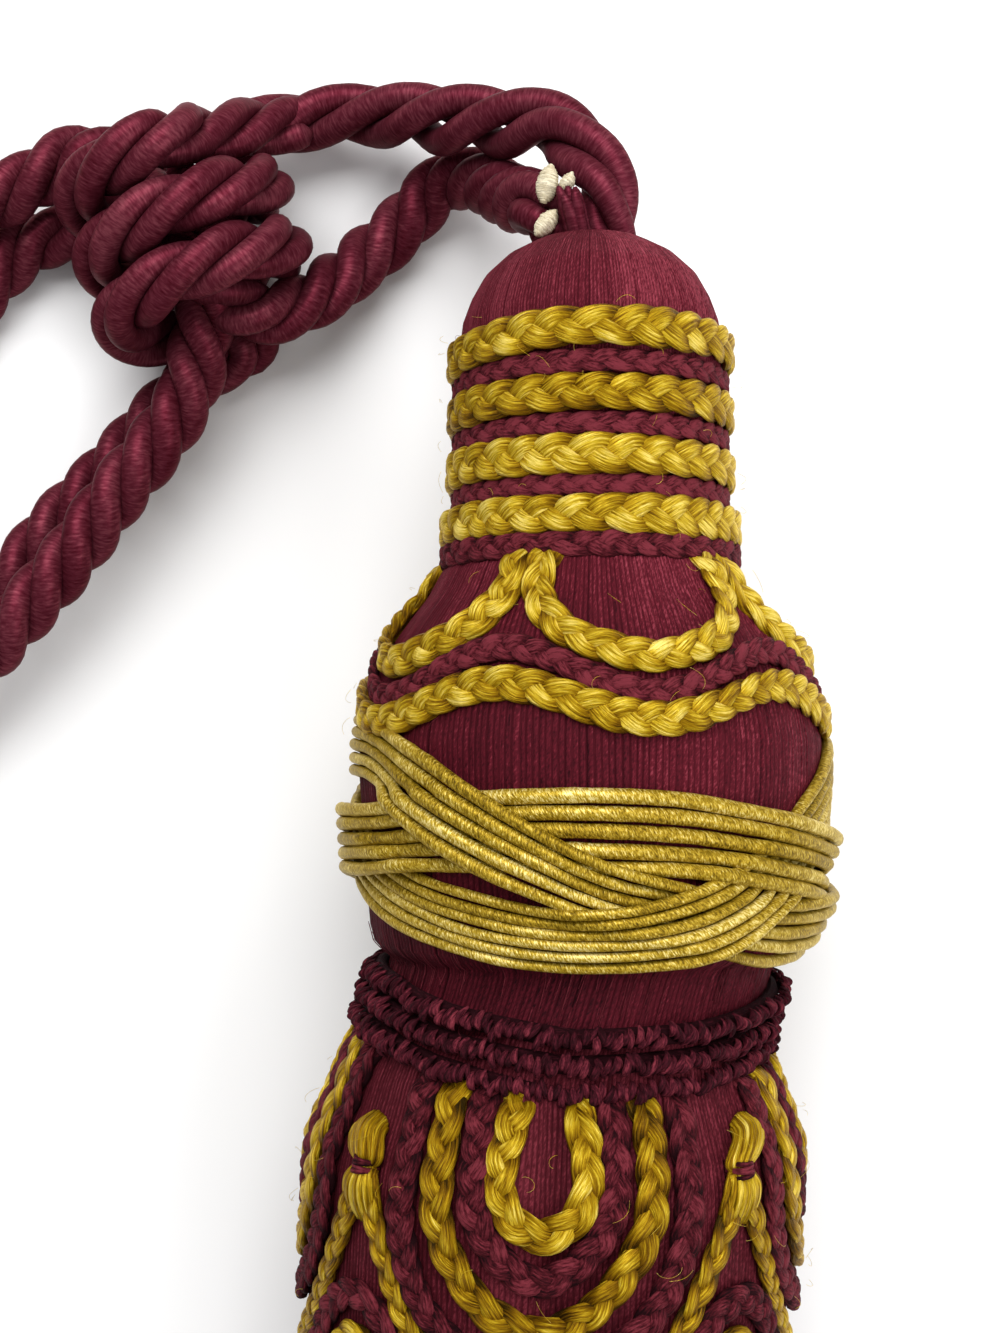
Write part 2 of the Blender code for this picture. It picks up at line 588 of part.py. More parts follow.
def build_motifs():
    """U braids, arches and tied tufts, repeated round the skirt."""
    for k in range(MOTIFS):
        u_turn = U_ANGLE + 360.0 * k / MOTIFS
        for name, (width, route) in U_BRAIDS.items():
            kind = "gold" if "gold" in name else "burgundy"
            full = [(t, angle + u_turn) for t, angle in mirrored(route)]
            braid_along(f"{name}_{k + 1}", full, width, BRAID_THICK, kind)
        tuft_turn = u_turn + TUFT_FROM_U
        for name, (width, route) in ARCHES.items():
            kind = "gold" if "gold" in name else "burgundy"
            full = [(t, angle + tuft_turn) for t, angle in mirrored(route)]
            braid_along(f"{name}_{k + 1}", full, width, BRAID_THICK, kind)
        build_tuft(k, tuft_turn)


def build_tuft(k, turn):
    """A tied tuft: a knob of gold yarn above two braided legs, one solid."""
    route = [(t, angle + turn) for t, angle in mirrored(LEG_ROUTE)]
    legs = braid_along(f"tuft_gold_{k + 1}", route, LEG_WIDTH, BRAID_THICK, "gold", step=6.2)
    centre = on_tassel(KNOB_T, turn, KNOB_LIFT)
    outward = on_tassel(KNOB_T, turn, KNOB_LIFT + 5.0) - centre
    outward.normalize()
    down = on_tassel(KNOB_T + 3.0, turn, KNOB_LIFT) - on_tassel(KNOB_T - 3.0, turn, KNOB_LIFT)
    down.normalize()
    side = down.cross(outward).normalized()
    knob = bmesh.new()
    bmesh.ops.create_uvsphere(knob, u_segments=7, v_segments=5, radius=1.0)
    for vertex in knob.verts:
        x, y, z = vertex.co
        vertex.co = metres(centre + side * x * KNOB_SIZE[0] + down * z * KNOB_SIZE[1]
                           + outward * y * KNOB_SIZE[2])
    bmesh.ops.recalc_face_normals(knob, faces=knob.faces)
    mesh = bpy.data.meshes.new("knob")
    knob.to_mesh(mesh)
    knob.free()
    cutter = bpy.data.objects.new(f"knob_guide_{k + 1}", mesh)
    CUTTERS.objects.link(cutter)
    cutter.hide_render = True
    cutter.display_type = "WIRE"
    union = legs.modifiers.new("Join", "BOOLEAN")
    union.operation = "UNION"
    union.solver = "EXACT"
    union.object = cutter


# --- rope -----------------------------------------------------------------------------------
def rope_frames(line):
    """Tangent, side and up at each point, carried along without turning."""
    frames = []
    side = None
    for index, point in enumerate(line):
        before = line[max(index - 1, 0)]
        after = line[min(index + 1, len(line) - 1)]
        tangent = (after - before).normalized()
        if side is None:
            side = tangent.cross(Vector((0.0, 0.0, 1.0))).normalized()
        side = (side - tangent * side.dot(tangent)).normalized()
        frames.append((point, tangent, side, tangent.cross(side)))
    return frames


def twisted_rope(name, line, radius, valley, first_scale=1.0):
    """Three strands laid up left-handed, as one lobed solid."""
    rings = []
    travelled = 0.0
    previous = line[0]
    for index, (point, _, side, up) in enumerate(rope_frames(line)):
        travelled += (point - previous).length
        previous = point
        scale = first_scale + (1.0 - first_scale) * smooth_step(index / 4.0)
        ring = []
        for k in range(2 * ROPE_STRANDS):
            turn = math.pi * k / ROPE_STRANDS - 2.0 * math.pi * travelled / ROPE_LAY
            reach = (radius if k % 2 == 0 else valley) * scale
            ring.append(point + side * math.cos(turn) * reach + up * math.sin(turn) * reach)
        for corner in ring:
            corner.z = max(corner.z, 0.0)
        rings.append(ring)
    skin_rings(name, rings, "burgundy", smooth=20.0)


def knot_point(angle):
    """The knot's wound centreline; 90 degrees is the top of the first wrap."""
    turn = math.radians(angle)
    half = KNOT_HALF_WIDTH if angle > 90.0 else KNOT_FIRST_HALF_WIDTH
    along = (angle - 450.0) / 360.0 * KNOT_PITCH
    return (KNOT_CENTRE + KNOT_AXIS * along + KNOT_ROW * math.cos(turn) * half
            + Vector((0.0, 0.0, math.sin(turn) * KNOT_HALF_HEIGHT)))


def build_ropes():
    """The two legs, the wound knot and the two doubled ears."""
    leg_upper = even_points(catmull_rom(ROPE_LEG_UPPER), ROPE_STEP)
    leg_lower = even_points(catmull_rom(ROPE_LEG_LOWER), ROPE_STEP)
    twisted_rope("rope_leg_upper", leg_upper, ROPE_RADIUS, ROPE_VALLEY, DOME_END)
    twisted_rope("rope_leg_lower", leg_lower, ROPE_RADIUS, ROPE_VALLEY, DOME_END)
    first, last = KNOT_ANGLES
    knot = even_points(lambda u: knot_point(first + (last - first) * u), ROPE_STEP)
    twisted_rope("knot_coil", knot, KNOT_RADIUS, KNOT_VALLEY)
    twisted_rope("ear_upper", even_points(catmull_rom(EAR_UPPER), ROPE_STEP), ROPE_RADIUS, ROPE_VALLEY)
    twisted_rope("ear_lower", even_points(catmull_rom(EAR_LOWER), ROPE_STEP), ROPE_RADIUS, ROPE_VALLEY)


def round_end(name, start, end, radius, kind):
    """A short round end of yarn, its tip a little drawn in."""
    line = [Vector(start).lerp(Vector(end), share) for share in (0.0, 0.5, 0.85, 1.0)]
    rings = []
    for (point, _, side, up), scale in zip(rope_frames(line), (0.9, 1.0, 0.85, 0.5)):
        turns = [2.0 * math.pi * k / 8 for k in range(8)]
        rings.append([point + (side * math.cos(a) + up * math.sin(a)) * radius * scale for a in turns])
    skin_rings(name, rings, kind)


def build_rope_ends():
    """The whipped stub and the bared cotton cores on the dome's crown."""
    round_end("rope_stub", STUB_BASE, STUB_TIP, STUB_RADIUS, "core")
    for number, (start, end, radius) in enumerate(CORE_ENDS):
        round_end(f"core_end_{number + 1}", start, end, radius, "cotton")


clear_scene()
COLLECTION = bpy.data.collections.new("curtain_tieback_tassel")
CUTTERS = bpy.data.collections.new("cutters")
bpy.context.scene.collection.children.link(COLLECTION)
bpy.context.scene.collection.children.link(CUTTERS)
build_head()
build_bands()
build_swags()
build_waves()
build_gimp()
build_ruffles()
build_skirt()
build_motifs()
build_ropes()
build_rope_ends()
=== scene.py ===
"""Looks for the curtain tieback tassel: yarns, plaits, gimp, crochet, threads and rope.

Sizes are millimetres until a mesh is made. A place on the tassel is t (distance from the
dome's top), an angle in degrees round the axis (0 on top, positive towards +X) and a lift.
"""
import math

import bpy
import numpy as np
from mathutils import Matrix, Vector


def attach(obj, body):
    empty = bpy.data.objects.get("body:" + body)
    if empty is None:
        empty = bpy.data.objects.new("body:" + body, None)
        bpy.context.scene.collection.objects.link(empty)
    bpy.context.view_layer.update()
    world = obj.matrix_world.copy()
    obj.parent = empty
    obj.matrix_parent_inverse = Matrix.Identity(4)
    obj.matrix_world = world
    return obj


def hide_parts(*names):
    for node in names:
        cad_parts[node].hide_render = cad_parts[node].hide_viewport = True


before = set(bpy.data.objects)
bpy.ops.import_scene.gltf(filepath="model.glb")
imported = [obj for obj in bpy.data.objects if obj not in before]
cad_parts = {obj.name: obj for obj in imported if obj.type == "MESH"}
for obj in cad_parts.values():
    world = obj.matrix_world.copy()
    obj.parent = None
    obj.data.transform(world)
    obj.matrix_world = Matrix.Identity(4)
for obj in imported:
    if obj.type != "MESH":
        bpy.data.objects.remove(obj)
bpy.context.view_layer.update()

MM = 0.001
ORIGIN = np.array([0.8, 5.5, 0.0])  # the frame's origin, in the lengths used here
RNG = np.random.default_rng(7)
ACROSS = np.array([1.0, 0.0, 0.0])
UP = np.array([0.0, 0.0, 1.0])
CURVE_POINTS = 40  # to each stretch of a curve

# --- camera and stage ---
CAMERA_AT = (-8.3, 72.0, 331.0)
CAMERA_FOCAL = 1.740  # focal length over the picture's width
SENSOR_WIDTH = 36.0
WORLD_LIGHT = 0.38
# name, place, power in watts and size in metres
LAMPS = [("key", (-110.0, 600.0, 790.0), 11.5, 0.8), ("fill", (420.0, -150.0, 500.0), 3.0, 0.6)]
LAMP_TARGET = (-0.01, 0.03, 0.03)  # metres
FLOOR_REACH = 3.0  # metres
FLOOR_GREY = 0.9

# --- the tassel's axis and lie, as in the part ---
AXIS_X = 6.5
DOME_Y = 143.5
HEAD_TILT = math.radians(2.8)
BALL_T = 101.5
AXIS_Z = 41.4
NECK_SHIFT = 5.4
NECK_SHIFT_T = (112.0, 138.0)
SKIRT_LEAN = 0.045
SKIRT_LEAN_T = 140.0
BALL_RADIUS = 38.0  # turns a length round the tassel into an angle
COLLAR_RADIUS = 23.0
SHOULDER_RADIUS = 35.0
SKIRT_T = 123.2  # from here down the radius is the skirt's
SHARP_T = 205.0  # from here down the skirt's edge on the floor is sharp
# t and radius, for both profiles
HEAD_PROFILE = [
    (1.6, 3.5), (1.9, 6.2), (2.9, 9.6), (5.3, 13.9), (8.5, 17.3), (12.2, 19.4),
    (16.0, 20.8), (20.0, 21.1), (45.0, 21.4), (50.0, 22.6), (54.5, 23.2), (57.3, 24.8),
    (60.6, 26.6), (63.9, 29.2), (67.2, 31.6), (70.5, 33.8), (73.8, 35.0), (77.1, 36.0),
    (80.0, 36.9), (84.0, 37.7), (90.0, 37.8), (101.5, 37.0), (110.0, 36.5), (114.0, 36.1),
    (116.8, 35.0), (118.4, 33.2), (119.2, 31.4), (123.0, 31.4),
]
SKIRT_PROFILE = [
    (123.4, 31.4), (128.0, 31.8), (133.0, 33.2), (138.0, 35.0), (141.5, 36.4), (145.5, 38.2),
    (149.5, 39.2), (154.0, 39.5), (190.0, 39.5), (250.0, 40.0), (288.0, 41.5),
]
# t, the axis's height, the underside's height, and the share of the radius that stands up
SKIRT_LIE = [
    (123.0, 40.35, 2.4, 1.00), (150.0, 40.8, 2.4, 1.00), (180.0, 39.5, 2.4, 0.96),
    (196.0, 37.0, 2.4, 0.95), (210.0, 34.5, 0.0, 0.94), (250.0, 31.5, 0.0, 0.88),
    (288.0, 29.5, 0.0, 0.84),
]
SKIRT_SOFTEN = 3.0
TILT_FADE_T = 150.0
HEM_T = 288.0

# --- trimmings ---
# name, t, width, how far the slack side sags, pitch
BANDS = [
    ("band_gold_1", 20.8, 6.9, 1.6, 15.0), ("band_burgundy_1", 26.1, 4.1, 0.6, 11.7),
    ("band_gold_2", 30.8, 6.6, 0.4, 15.0), ("band_burgundy_2", 35.5, 4.0, 0.3, 11.7),
    ("band_gold_3", 40.2, 7.0, 0.0, 15.5), ("band_burgundy_3", 44.8, 4.1, 0.0, 11.7),
    ("band_gold_4", 49.4, 6.7, 0.0, 15.0), ("band_burgundy_4", 54.0, 4.5, 0.0, 12.4),
]
BAND_SLACK_ANGLE = -75.0
BAND_FLAT = 0.64
REPEATS = 5
SWAG_ANGLE = 12.0
# half of a swag, as t and angle
SWAG_ROUTE = [(55.4, -30.5), (60.6, -31.0), (64.4, -27.5), (68.2, -20.0), (70.7, -9.0),
              (71.7, 0.0)]
SWAG_TUCK = (53.4, -30.3)  # each end goes in under the lowest burgundy band
SWAG_EDGE = 0.8  # the band's edge, below the tucked end
SWAG_DIP = (3.2, 2.0)  # length and depth of the dip under the band
SWAG_WIDTH = 5.7
SWAG_PITCH = 13.5
# name, mean t, swing, width, pitch
WAVES = [("wave_burgundy", 73.7, 3.4, 4.4, 10.0), ("wave_gold", 78.3, 2.65, 5.7, 13.5)]
MOTIFS = 4
U_ANGLE = -4.0
TUFT_FROM_U = 46.5
U_DIP = (3.6, 2.6)  # length and depth of the dip under the ruffle
# width, pitch and half of the route
U_BRAIDS = {
    "u_gold_inner": (5.6, 15.0, [
        (136.4, 6.2), (140.5, 8.4), (145.0, 9.4), (149.3, 8.2), (152.4, 4.6), (153.6, 0.0)]),
    "u_burgundy_inner": (5.4, 12.4, [
        (137.4, 15.4), (148.0, 15.0), (154.0, 11.9), (158.2, 7.0), (160.4, 0.0)]),
    "u_gold_outer": (5.8, 15.9, [
        (137.4, 23.6), (147.0, 23.2), (154.0, 21.6), (161.0, 16.0), (165.8, 9.0), (168.2, 0.0)]),
    "u_burgundy_outer": (5.4, 12.4, [
        (137.4, 32.2), (146.0, 31.6), (153.0, 31.4), (160.0, 29.2), (165.5, 25.0), (169.8, 19.0),
        (173.2, 11.0), (174.8, 0.0)]),
}
ARCHES = {
    "arch_burgundy": (5.2, 12.2, [
        (193.0, 18.5), (186.0, 18.0), (179.0, 16.5), (172.8, 11.8), (168.3, 6.0), (166.8, 0.0)]),
    "arch_gold": (5.0, 13.0, [
        (193.0, 9.8), (186.0, 9.4), (179.5, 8.0), (175.0, 4.4), (173.2, 0.0)]),
}
LEG_ROUTE = [(190.5, 45.0), (185.0, 36.0), (179.0, 27.0), (173.0, 19.0), (168.0, 14.0),
             (163.0, 10.0), (158.0, 6.6), (152.6, 3.4), (147.6, 1.5)]
LEG_WIDTH = 4.5
LEG_PITCH = 14.0
# yarns, reach down the tassel, and the half widths and heights from the binding outwards
KNOB = (13, -6.5, (1.6, 2.8, 3.4, 3.6, 3.7, 3.6, 3.4, 3.0),
        (1.3, 1.9, 2.2, 2.4, 2.4, 2.3, 1.8, 0.2))
FORK = (9, 8.5, (1.6, 3.1, 3.7, 3.9, 3.8), (1.3, 2.2, 2.1, 1.4, 0.2))
KNOB_LEANS = (6.0, 2.0, -2.0, -2.6)  # degrees round the tassel, at each knob's top
FOLDED_ROUND = 1.6
FOLDED_CROWN = 0.45
FOLDED_YARN = 0.5
FOLDED_SEAT = 0.3
BINDING_T = 146.9
BINDING_TURNS = 4
BINDING_PITCH = 0.55
BINDING_SLANT = 0.25
BINDING_HALF_WIDTH = 2.3
BINDING_LIFT = (0.5, 2.5)  # at its ends, and how much more in its middle
BINDING_YARN = 0.36
# painted shade: how far each plait of the skirt is painted duller than the bands
SKIRT_PAINTED_SHADE = {"u_gold_outer": 0.42, "arch_gold": 0.5, "leg": 0.4, "u_gold_inner": 0.12,
        "u_burgundy_inner": 0.5, "u_burgundy_outer": 0.5, "arch_burgundy": 0.5}

# --- plaits ---
PLAIT_LIFT = 0.25
PLAIT_FLAT = 0.78
GOLD_STEP = 0.75
GOLD_RING_STEP = 0.8
BURGUNDY_STEP = 0.65
# the next four are shares of a plait's width
PLAIT_SWING = 0.26
STRAND_HALF_WIDTH = 0.25
STRAND_HALF_HEIGHT = 0.165
STRAND_HOP = 0.1
STRAND_SEAT = 0.9  # under 1, so the lower strands press into the threads
STRAND_SWELL = 0.16
OVER_UNDER_PAINTED_LIGHT = 0.75  # painted light and shade: strands are paler where they cross over and darker where they dip under
STRAND_STRAY = 0.08  # radians
CROSSING_STRAY = 0.45  # radians
CROSSING_SPAN = 0.8  # of the pitch
FULLNESS_STRAY = 0.07
FULLNESS_SPAN = 0.5  # of the pitch
# a strand's sides, lowest and highest tone, and the length in which its pattern may start
LOOKS = {
    "plait": (10, -0.4, 0.4, 500.0), "folded": (6, -0.6, 1.0, 500.0),
    "gimp": (12, -1.0, 1.0, 300.0), "stitch": (8, -0.8, 0.6, 90.0), "hem": (5, 0.2, 0.6, 300.0),
    "rope": (14, -1.0, 1.0, 500.0), "stub": (8, -1.0, 1.0, 90.0), "cotton": (6, 0.0, 1.0, 90.0),
}

# --- gimp ---
GIMP_RADIUS = 1.14
GIMP_THIN = 0.78
GIMP_LAYER = 2.3
GIMP_RAMP = (0.2, 3.4)  # how far inside the other's edge a cord starts down, and its run
GIMP_SEAT = 0.1
GIMP_STEP = 1.3
GIMP_PACKING = 0.47  # a cord's radius over its share of the bundle's width
GIMP_BLUR = 6.0  # degrees over which the edges below are smoothed
# degrees over which it comes and goes, and amount
GIMP_STRAY = (16.0, 0.18)
GIMP_UNEVEN = (3.0, 0.05)
GIMP_SLANT = 0.5
GIMP_CORDS = {"a": 5, "b": 5, "c": 6}
GIMP_RIDES_ON = {"a": "b", "b": "c", "c": "a"}
# angle, then each bundle's upper and lower edge above the ball's equator
GIMP_ROWS = [
    (-180.0, 6.5, -6.5, -7.5, -18.0, 15.5, 1.5),
    (-165.0, 10.0, -3.0, -6.5, -17.5, 15.0, 0.5),
    (-150.0, 14.0, 1.0, -4.0, -15.5, 14.0, -1.0),
    (-135.0, 17.0, 4.0, -0.5, -12.5, 13.0, -2.0),
    (-120.0, 19.5, 8.0, 2.5, -9.5, 11.5, -3.0),
    (-105.0, 21.2, 10.9, 5.5, -6.5, 10.2, -4.0),
    (-90.0, 22.3, 12.0, 7.5, -4.6, 8.5, -5.5),
    (-75.0, 21.6, 12.0, 7.6, -4.0, 5.0, -7.5),
    (-60.0, 20.2, 11.0, 7.8, -3.4, 1.0, -11.0),
    (-45.0, 17.6, 4.0, 9.0, -2.4, -3.0, -13.2),
    (-30.0, 11.8, -1.5, 10.0, -2.0, -5.0, -15.7),
    (-15.0, 5.5, -5.5, 10.5, -2.0, -6.8, -16.7),
    (0.0, -0.5, -9.5, 10.5, -2.2, -7.4, -17.0),
    (15.0, -2.8, -11.8, 10.0, -2.6, -5.4, -16.4),
    (22.5, -4.0, -13.5, 9.4, -3.0, -3.4, -16.0),
    (30.0, -5.5, -15.0, 8.5, -3.7, -1.2, -15.2),
    (45.0, -6.5, -17.3, 6.8, -5.7, 4.0, -8.6),
    (60.0, -6.8, -18.0, 4.5, -7.4, 10.5, -3.5),
    (75.0, -6.8, -18.0, 2.8, -9.0, 16.0, 1.8),
    (90.0, -6.5, -17.5, 1.4, -10.2, 19.0, 5.2),
    (105.0, -5.0, -17.0, -1.0, -12.5, 20.8, 7.0),
    (120.0, -3.0, -16.0, -3.0, -15.0, 21.5, 8.0),
    (135.0, 0.5, -12.5, -4.5, -16.5, 21.0, 8.0),
    (150.0, 3.5, -9.0, -6.0, -17.2, 19.4, 6.6),
    (165.0, 5.5, -6.7, -7.4, -17.8, 18.4, 3.8),
    (180.0, 6.5, -6.5, -7.5, -18.0, 15.5, 1.5),
]

# --- ruffle ---
RUFFLE_ROWS = 3
RUFFLE_PITCH = 3.7
RUFFLE_EDGE = 1.05  # rows from the middle to the lower edge
RUFFLE_CORE_RADIUS = 32.9
RUFFLE_CORE = (1.5, 1.2)
# angle, and t of the middle row
RUFFLE_LINE = [
    (-180.0, 125.0), (-90.0, 125.0), (-65.0, 126.0), (-35.0, 129.3), (0.0, 132.0), (35.0, 131.8),
    (70.0, 129.8), (90.0, 128.6), (135.0, 126.5), (180.0, 125.0),
]
STITCHES = 126
STITCH_RADIUS = 33.6
STITCH_ROLLS = (-0.25, 0.25)  # places in the stitch's own width
STITCH_HALF_LENGTH = (1.0, 1.5)
STITCH_THICK = (0.46, 0.68)
STITCH_BULGE = (1.85, 0.34)  # mean and spread
# the next three are spreads
STITCH_DROP = 0.36
STITCH_LEAN = 0.4
STITCH_SHIFT = 0.08

# --- cut ends on the dome: centre, direction, half height, half width ---
COTTON_ENDS = {
    "core_end_1": [((-0.7, 149.6, 51.2), (0.2, 0.98), 2.9, 1.75),
                   ((2.5, 149.8, 51.6), (0.5, 0.86), 1.5, 1.1)],
    "core_end_2": [((-0.9, 143.2, 51.6), (0.63, 0.78), 2.4, 1.5)],
}
COTTON_PITCH = 0.17
COTTON_YARN = 0.52
COTTON_HALF_HEIGHT = 0.8
STUB_FROM = np.array([4.2, 142.0, 51.4])
STUB_TO = np.array([2.7, 148.4, 53.6])
STUB_RADIUS = 2.1
STUB_YARNS = 7  # one of them in the middle
STUB_FLARE = 0.1
STUB_CURL = 0.12

# --- threads ---
HEAD_THREADS = 236
SKIRT_THREADS = 300
THREAD_SLANT = 0.9  # along the thread for each millimetre across it: the twist
THREAD_GROOVE = [1.0, 0.1, 0.1]  # depth at a thread's columns
THREAD_PLACES = [-0.5, -0.17, 0.17]
THREAD_TONE = (0.5, 0.58)
DEEP_SHARE = 0.08  # of the grooves
DEEP, SHALLOW = 1.9, 0.8
HEAD_DEPTH = 0.16
HEAD_LIFT = 0.12
SKIRT_DEPTH = 0.2
# painted shade: how far the threads' tone drops along t, from the shoulder down and most at the
# neck
HEAD_PAINTED_SHADE = [(0.0, 0.0), (50.0, 0.0), (72.0, 0.14), (104.0, 0.15), (117.0, 0.22)]
HEM_RAGGED = (258.0, HEM_T - 2.2)
HEM_TURNED_IN = (6.0, -1.6)  # the last row, up inside the skirt
HEM_ENDS = 1400
HEM_END_RADIUS = 0.85
HEM_END_LENGTH = 14.0
GOLDEN_ANGLE = 137.508
BALL_HAIRS = 90
NECK_HAIRS = 150
HAIR_RADIUS = 0.03
NECK_HAIR_RADIUS = 0.06
HAIRY_RADIUS = 30.0  # the tassel's own, about where the hairs are
# t, spread and number of the stray gold hairs
HAIR_ZONES = [(22.0, 4.0, 24), (40.0, 12.0, 34), (62.0, 6.0, 22), (76.0, 4.0, 20),
              (155.0, 18.0, 70)]

# --- rope, the part's own routes ---
ROPE_RADIUS = 5.75
ROPE_LAY = 26.5
LOOSE_LAY = 44.0
KNOT_LAY = 38.0
END_ROUND = 2.6
STRAND_REACH = 1.1547  # 2 / sqrt(3): from the rope's line to a strand's, in strand radii
ROPE_STEP = 1.15
LEG_DRAWN_IN = 20.0  # length over which a leg thins into the dome
LEG_SQUEEZE = 0.3
LEG_OPENED = (54.0, 16.0, 0.2)  # where the strands part, over what length and how far
KNOT_RADIUS = 5.45
KNOT_CENTRE = np.array([-64.6, 150.5, 20.0])
KNOT_ROW = np.array([0.956, 0.292, 0.0])
KNOT_AXIS = np.array([0.292, -0.956, 0.0])
KNOT_PITCH = 11.3
KNOT_HALF_WIDTH = 15.7
KNOT_HALF_HEIGHT = 14.5
KNOT_FIRST_HALF_WIDTH = 7.0
KNOT_ANGLES = (25.0, 985.0)
KNOT_MIDDLE = 450.0  # the angle at which the coil passes its centre
KNOT_POINTS = 400
KNOT_JOIN = 6
KNOT_START = [(-44.0, 171.5, 9.5), (-50.0, 171.0, 13.0), (-56.5, 168.0, 19.5)]
ROPE_LEG_UPPER = [
    (10.0, 144.9, 46.6), (9.1, 150.0, 46.6), (5.9, 156.6, 43.4), (0.8, 162.9, 38.0),
    (-8.3, 166.0, 30.0), (-19.0, 169.3, 21.5), (-30.3, 172.7, 13.0), (-41.6, 173.4, 9.3),
    (-52.4, 171.4, 9.3), (-60.5, 168.8, 9.5),
]
ROPE_LEG_LOWER = [
    (-1.1, 145.6, 46.2), (-2.8, 149.0, 42.5), (-5.6, 152.2, 32.4), (-11.5, 159.8, 16.2),
    (-16.6, 162.0, 9.2), (-21.8, 159.6, 6.3), (-27.0, 153.9, 6.0), (-34.3, 147.1, 7.5),
    (-41.2, 140.3, 12.5), (-47.6, 136.4, 16.0), (-52.6, 135.6, 18.6), (-56.9, 137.2, 19.9),
]
EAR_UPPER = [
    (-84.0, 164.9, 15.6), (-90.5, 161.2, 16.0), (-99.5, 156.8, 15.2), (-111.0, 151.6, 13.0),
    (-124.0, 147.0, 9.5), (-140.0, 142.5, 6.4), (-160.0, 138.5, 5.8), (-181.0, 132.5, 5.8),
    (-196.0, 120.0, 5.8), (-200.0, 104.0, 5.8), (-192.0, 90.5, 5.8), (-177.0, 85.5, 5.8),
    (-160.5, 89.0, 5.8), (-145.5, 98.0, 5.8), (-131.5, 111.0, 5.8), (-119.0, 125.0, 5.8),
    (-108.5, 138.0, 5.8), (-101.8, 146.0, 5.8), (-95.2, 151.4, 5.8), (-88.5, 152.6, 5.8),
]
EAR_LOWER = [
    (-61.6, 132.7, 19.3), (-64.0, 122.2, 18.1), (-69.6, 112.8, 17.6), (-76.8, 103.8, 17.5),
    (-87.8, 89.4, 16.5), (-99.0, 77.0, 15.5), (-115.5, 60.0, 11.0), (-128.5, 42.0, 6.6),
    (-137.5, 18.0, 5.8), (-145.5, -8.0, 5.8), (-158.5, -26.0, 5.8), (-175.5, -30.0, 5.8),
    (-187.5, -18.0, 5.8), (-185.5, 4.0, 5.8), (-173.5, 26.0, 5.8), (-153.5, 48.0, 5.8),
    (-134.5, 64.0, 5.8), (-116.5, 76.0, 5.8), (-101.8, 86.1, 5.8), (-91.5, 98.1, 5.8),
    (-81.2, 108.7, 5.8), (-73.7, 117.1, 5.8), (-67.2, 124.0, 5.8), (-61.6, 128.4, 5.8),
    (-56.3, 130.6, 5.8),
]

# stretches hidden inside the dome and the knot
LEG_UPPER_LEAD = [(9.6, 136.5, 45.5), (10.2, 140.8, 46.4)]
LEG_LOWER_LEAD = [(4.5, 138.0, 44.5), (2.2, 141.6, 45.6)]
LEG_LOWER_TAIL = [(-62.0, 141.5, 20.5), (-64.6, 150.5, 20.0), (-68.0, 161.5, 19.5)]
EAR_UPPER_LEAD = [(-69.0, 163.0, 11.0), (-76.5, 163.8, 14.0)]
EAR_UPPER_TAIL = [(-82.5, 152.2, 6.2), (-76.0, 152.0, 8.0)]
EAR_LOWER_LEAD = [(-61.5, 147.0, 19.0), (-60.8, 140.0, 19.6)]
EAR_LOWER_TAIL = [(-54.8, 135.5, 7.5), (-57.0, 141.0, 9.0)]


# --- curves ---
def unit(v):
    return v / np.maximum(np.linalg.norm(v, axis=-1, keepdims=True), 1e-9)


def smooth_step(x):
    x = np.clip(x, 0.0, 1.0)
    return x * x * (3.0 - 2.0 * x)


def arched(x, least=0.0):
    """A half circle's height over x from -1 to 1."""
    return np.sqrt(np.maximum(1.0 - x ** 2, least))


def distances(line):
    """How far along a line each of its points is."""
    return np.concatenate([[0.0], np.cumsum(np.linalg.norm(np.diff(line, axis=0), axis=1))])


def catmull_rom(points, fine=CURVE_POINTS):
    """Dense points on a smooth curve through the given ones."""
    p = np.asarray(points, float)
    p = np.vstack([2 * p[0] - p[1], p, 2 * p[-1] - p[-2]])
    f = np.linspace(0.0, 1.0, fine, endpoint=False)[:, None]
    out = []
    for a, b, c, d in zip(p, p[1:], p[2:], p[3:]):
        out.append(0.5 * (2 * b + (c - a) * f + (2 * a - 5 * b + 4 * c - d) * f ** 2
                          + (3 * b - a - 3 * c + d) * f ** 3))
    out.append(p[-2][None])
    return np.vstack(out)


def resample(dense, step):
    """Points a step apart, and their distances from the start."""
    lengths = distances(dense)
    count = max(4, int(round(lengths[-1] / step)))
    s = np.linspace(0.0, lengths[-1], count + 1)
    return np.stack([np.interp(s, lengths, values) for values in dense.T], axis=1), s


def crosswise(line, outward):
    """The direction across a line that lies on a surface."""
    return unit(np.cross(outward, unit(np.gradient(line, axis=0))))


def carried_frames(line):
    """Side and up at each point of a line, carried along it without turning."""
    tangent = unit(np.gradient(line, axis=0))
    side = np.zeros_like(line)
    current = np.cross(tangent[0], UP)
    for k, direction in enumerate(tangent):
        current = current - direction * current.dot(direction)
        current /= np.linalg.norm(current)
        side[k] = current
    return side, np.cross(tangent, side)


def slow_noise(s, span, amount):
    """Smooth random numbers along s, up to the amount, and the same at both ends."""
    count = max(4, int(s[-1] / span))
    knots = RNG.uniform(-1.0, 1.0, count)
    place = s / s[-1] * count
    low = np.floor(place).astype(int) % count
    share = smooth_step(place - np.floor(place))
    return amount * (knots[low] * (1.0 - share) + knots[(low + 1) % count] * share)


# --- the tassel's coordinates ---
def column(table, t, k):
    data = np.array(table)
    return np.interp(t, data[:, 0], data[:, k])


def wrapped(angle):
    """An angle brought between -180 and 180 degrees."""
    return (angle + 180.0) % 360.0 - 180.0


def degrees_round(length, radius=BALL_RADIUS):
    """The angle that a length round the tassel spans."""
    return np.degrees(length / radius)


def ring_angles(radius, step):
    """Angles all the way round, about a step apart."""
    count = int(round(2.0 * np.pi * radius / step))
    return np.linspace(-180.0, 180.0, count + 1)


def surface_radius(t):
    return np.where(t <= SKIRT_T, column(HEAD_PROFILE, t, 1), column(SKIRT_PROFILE, t, 1))


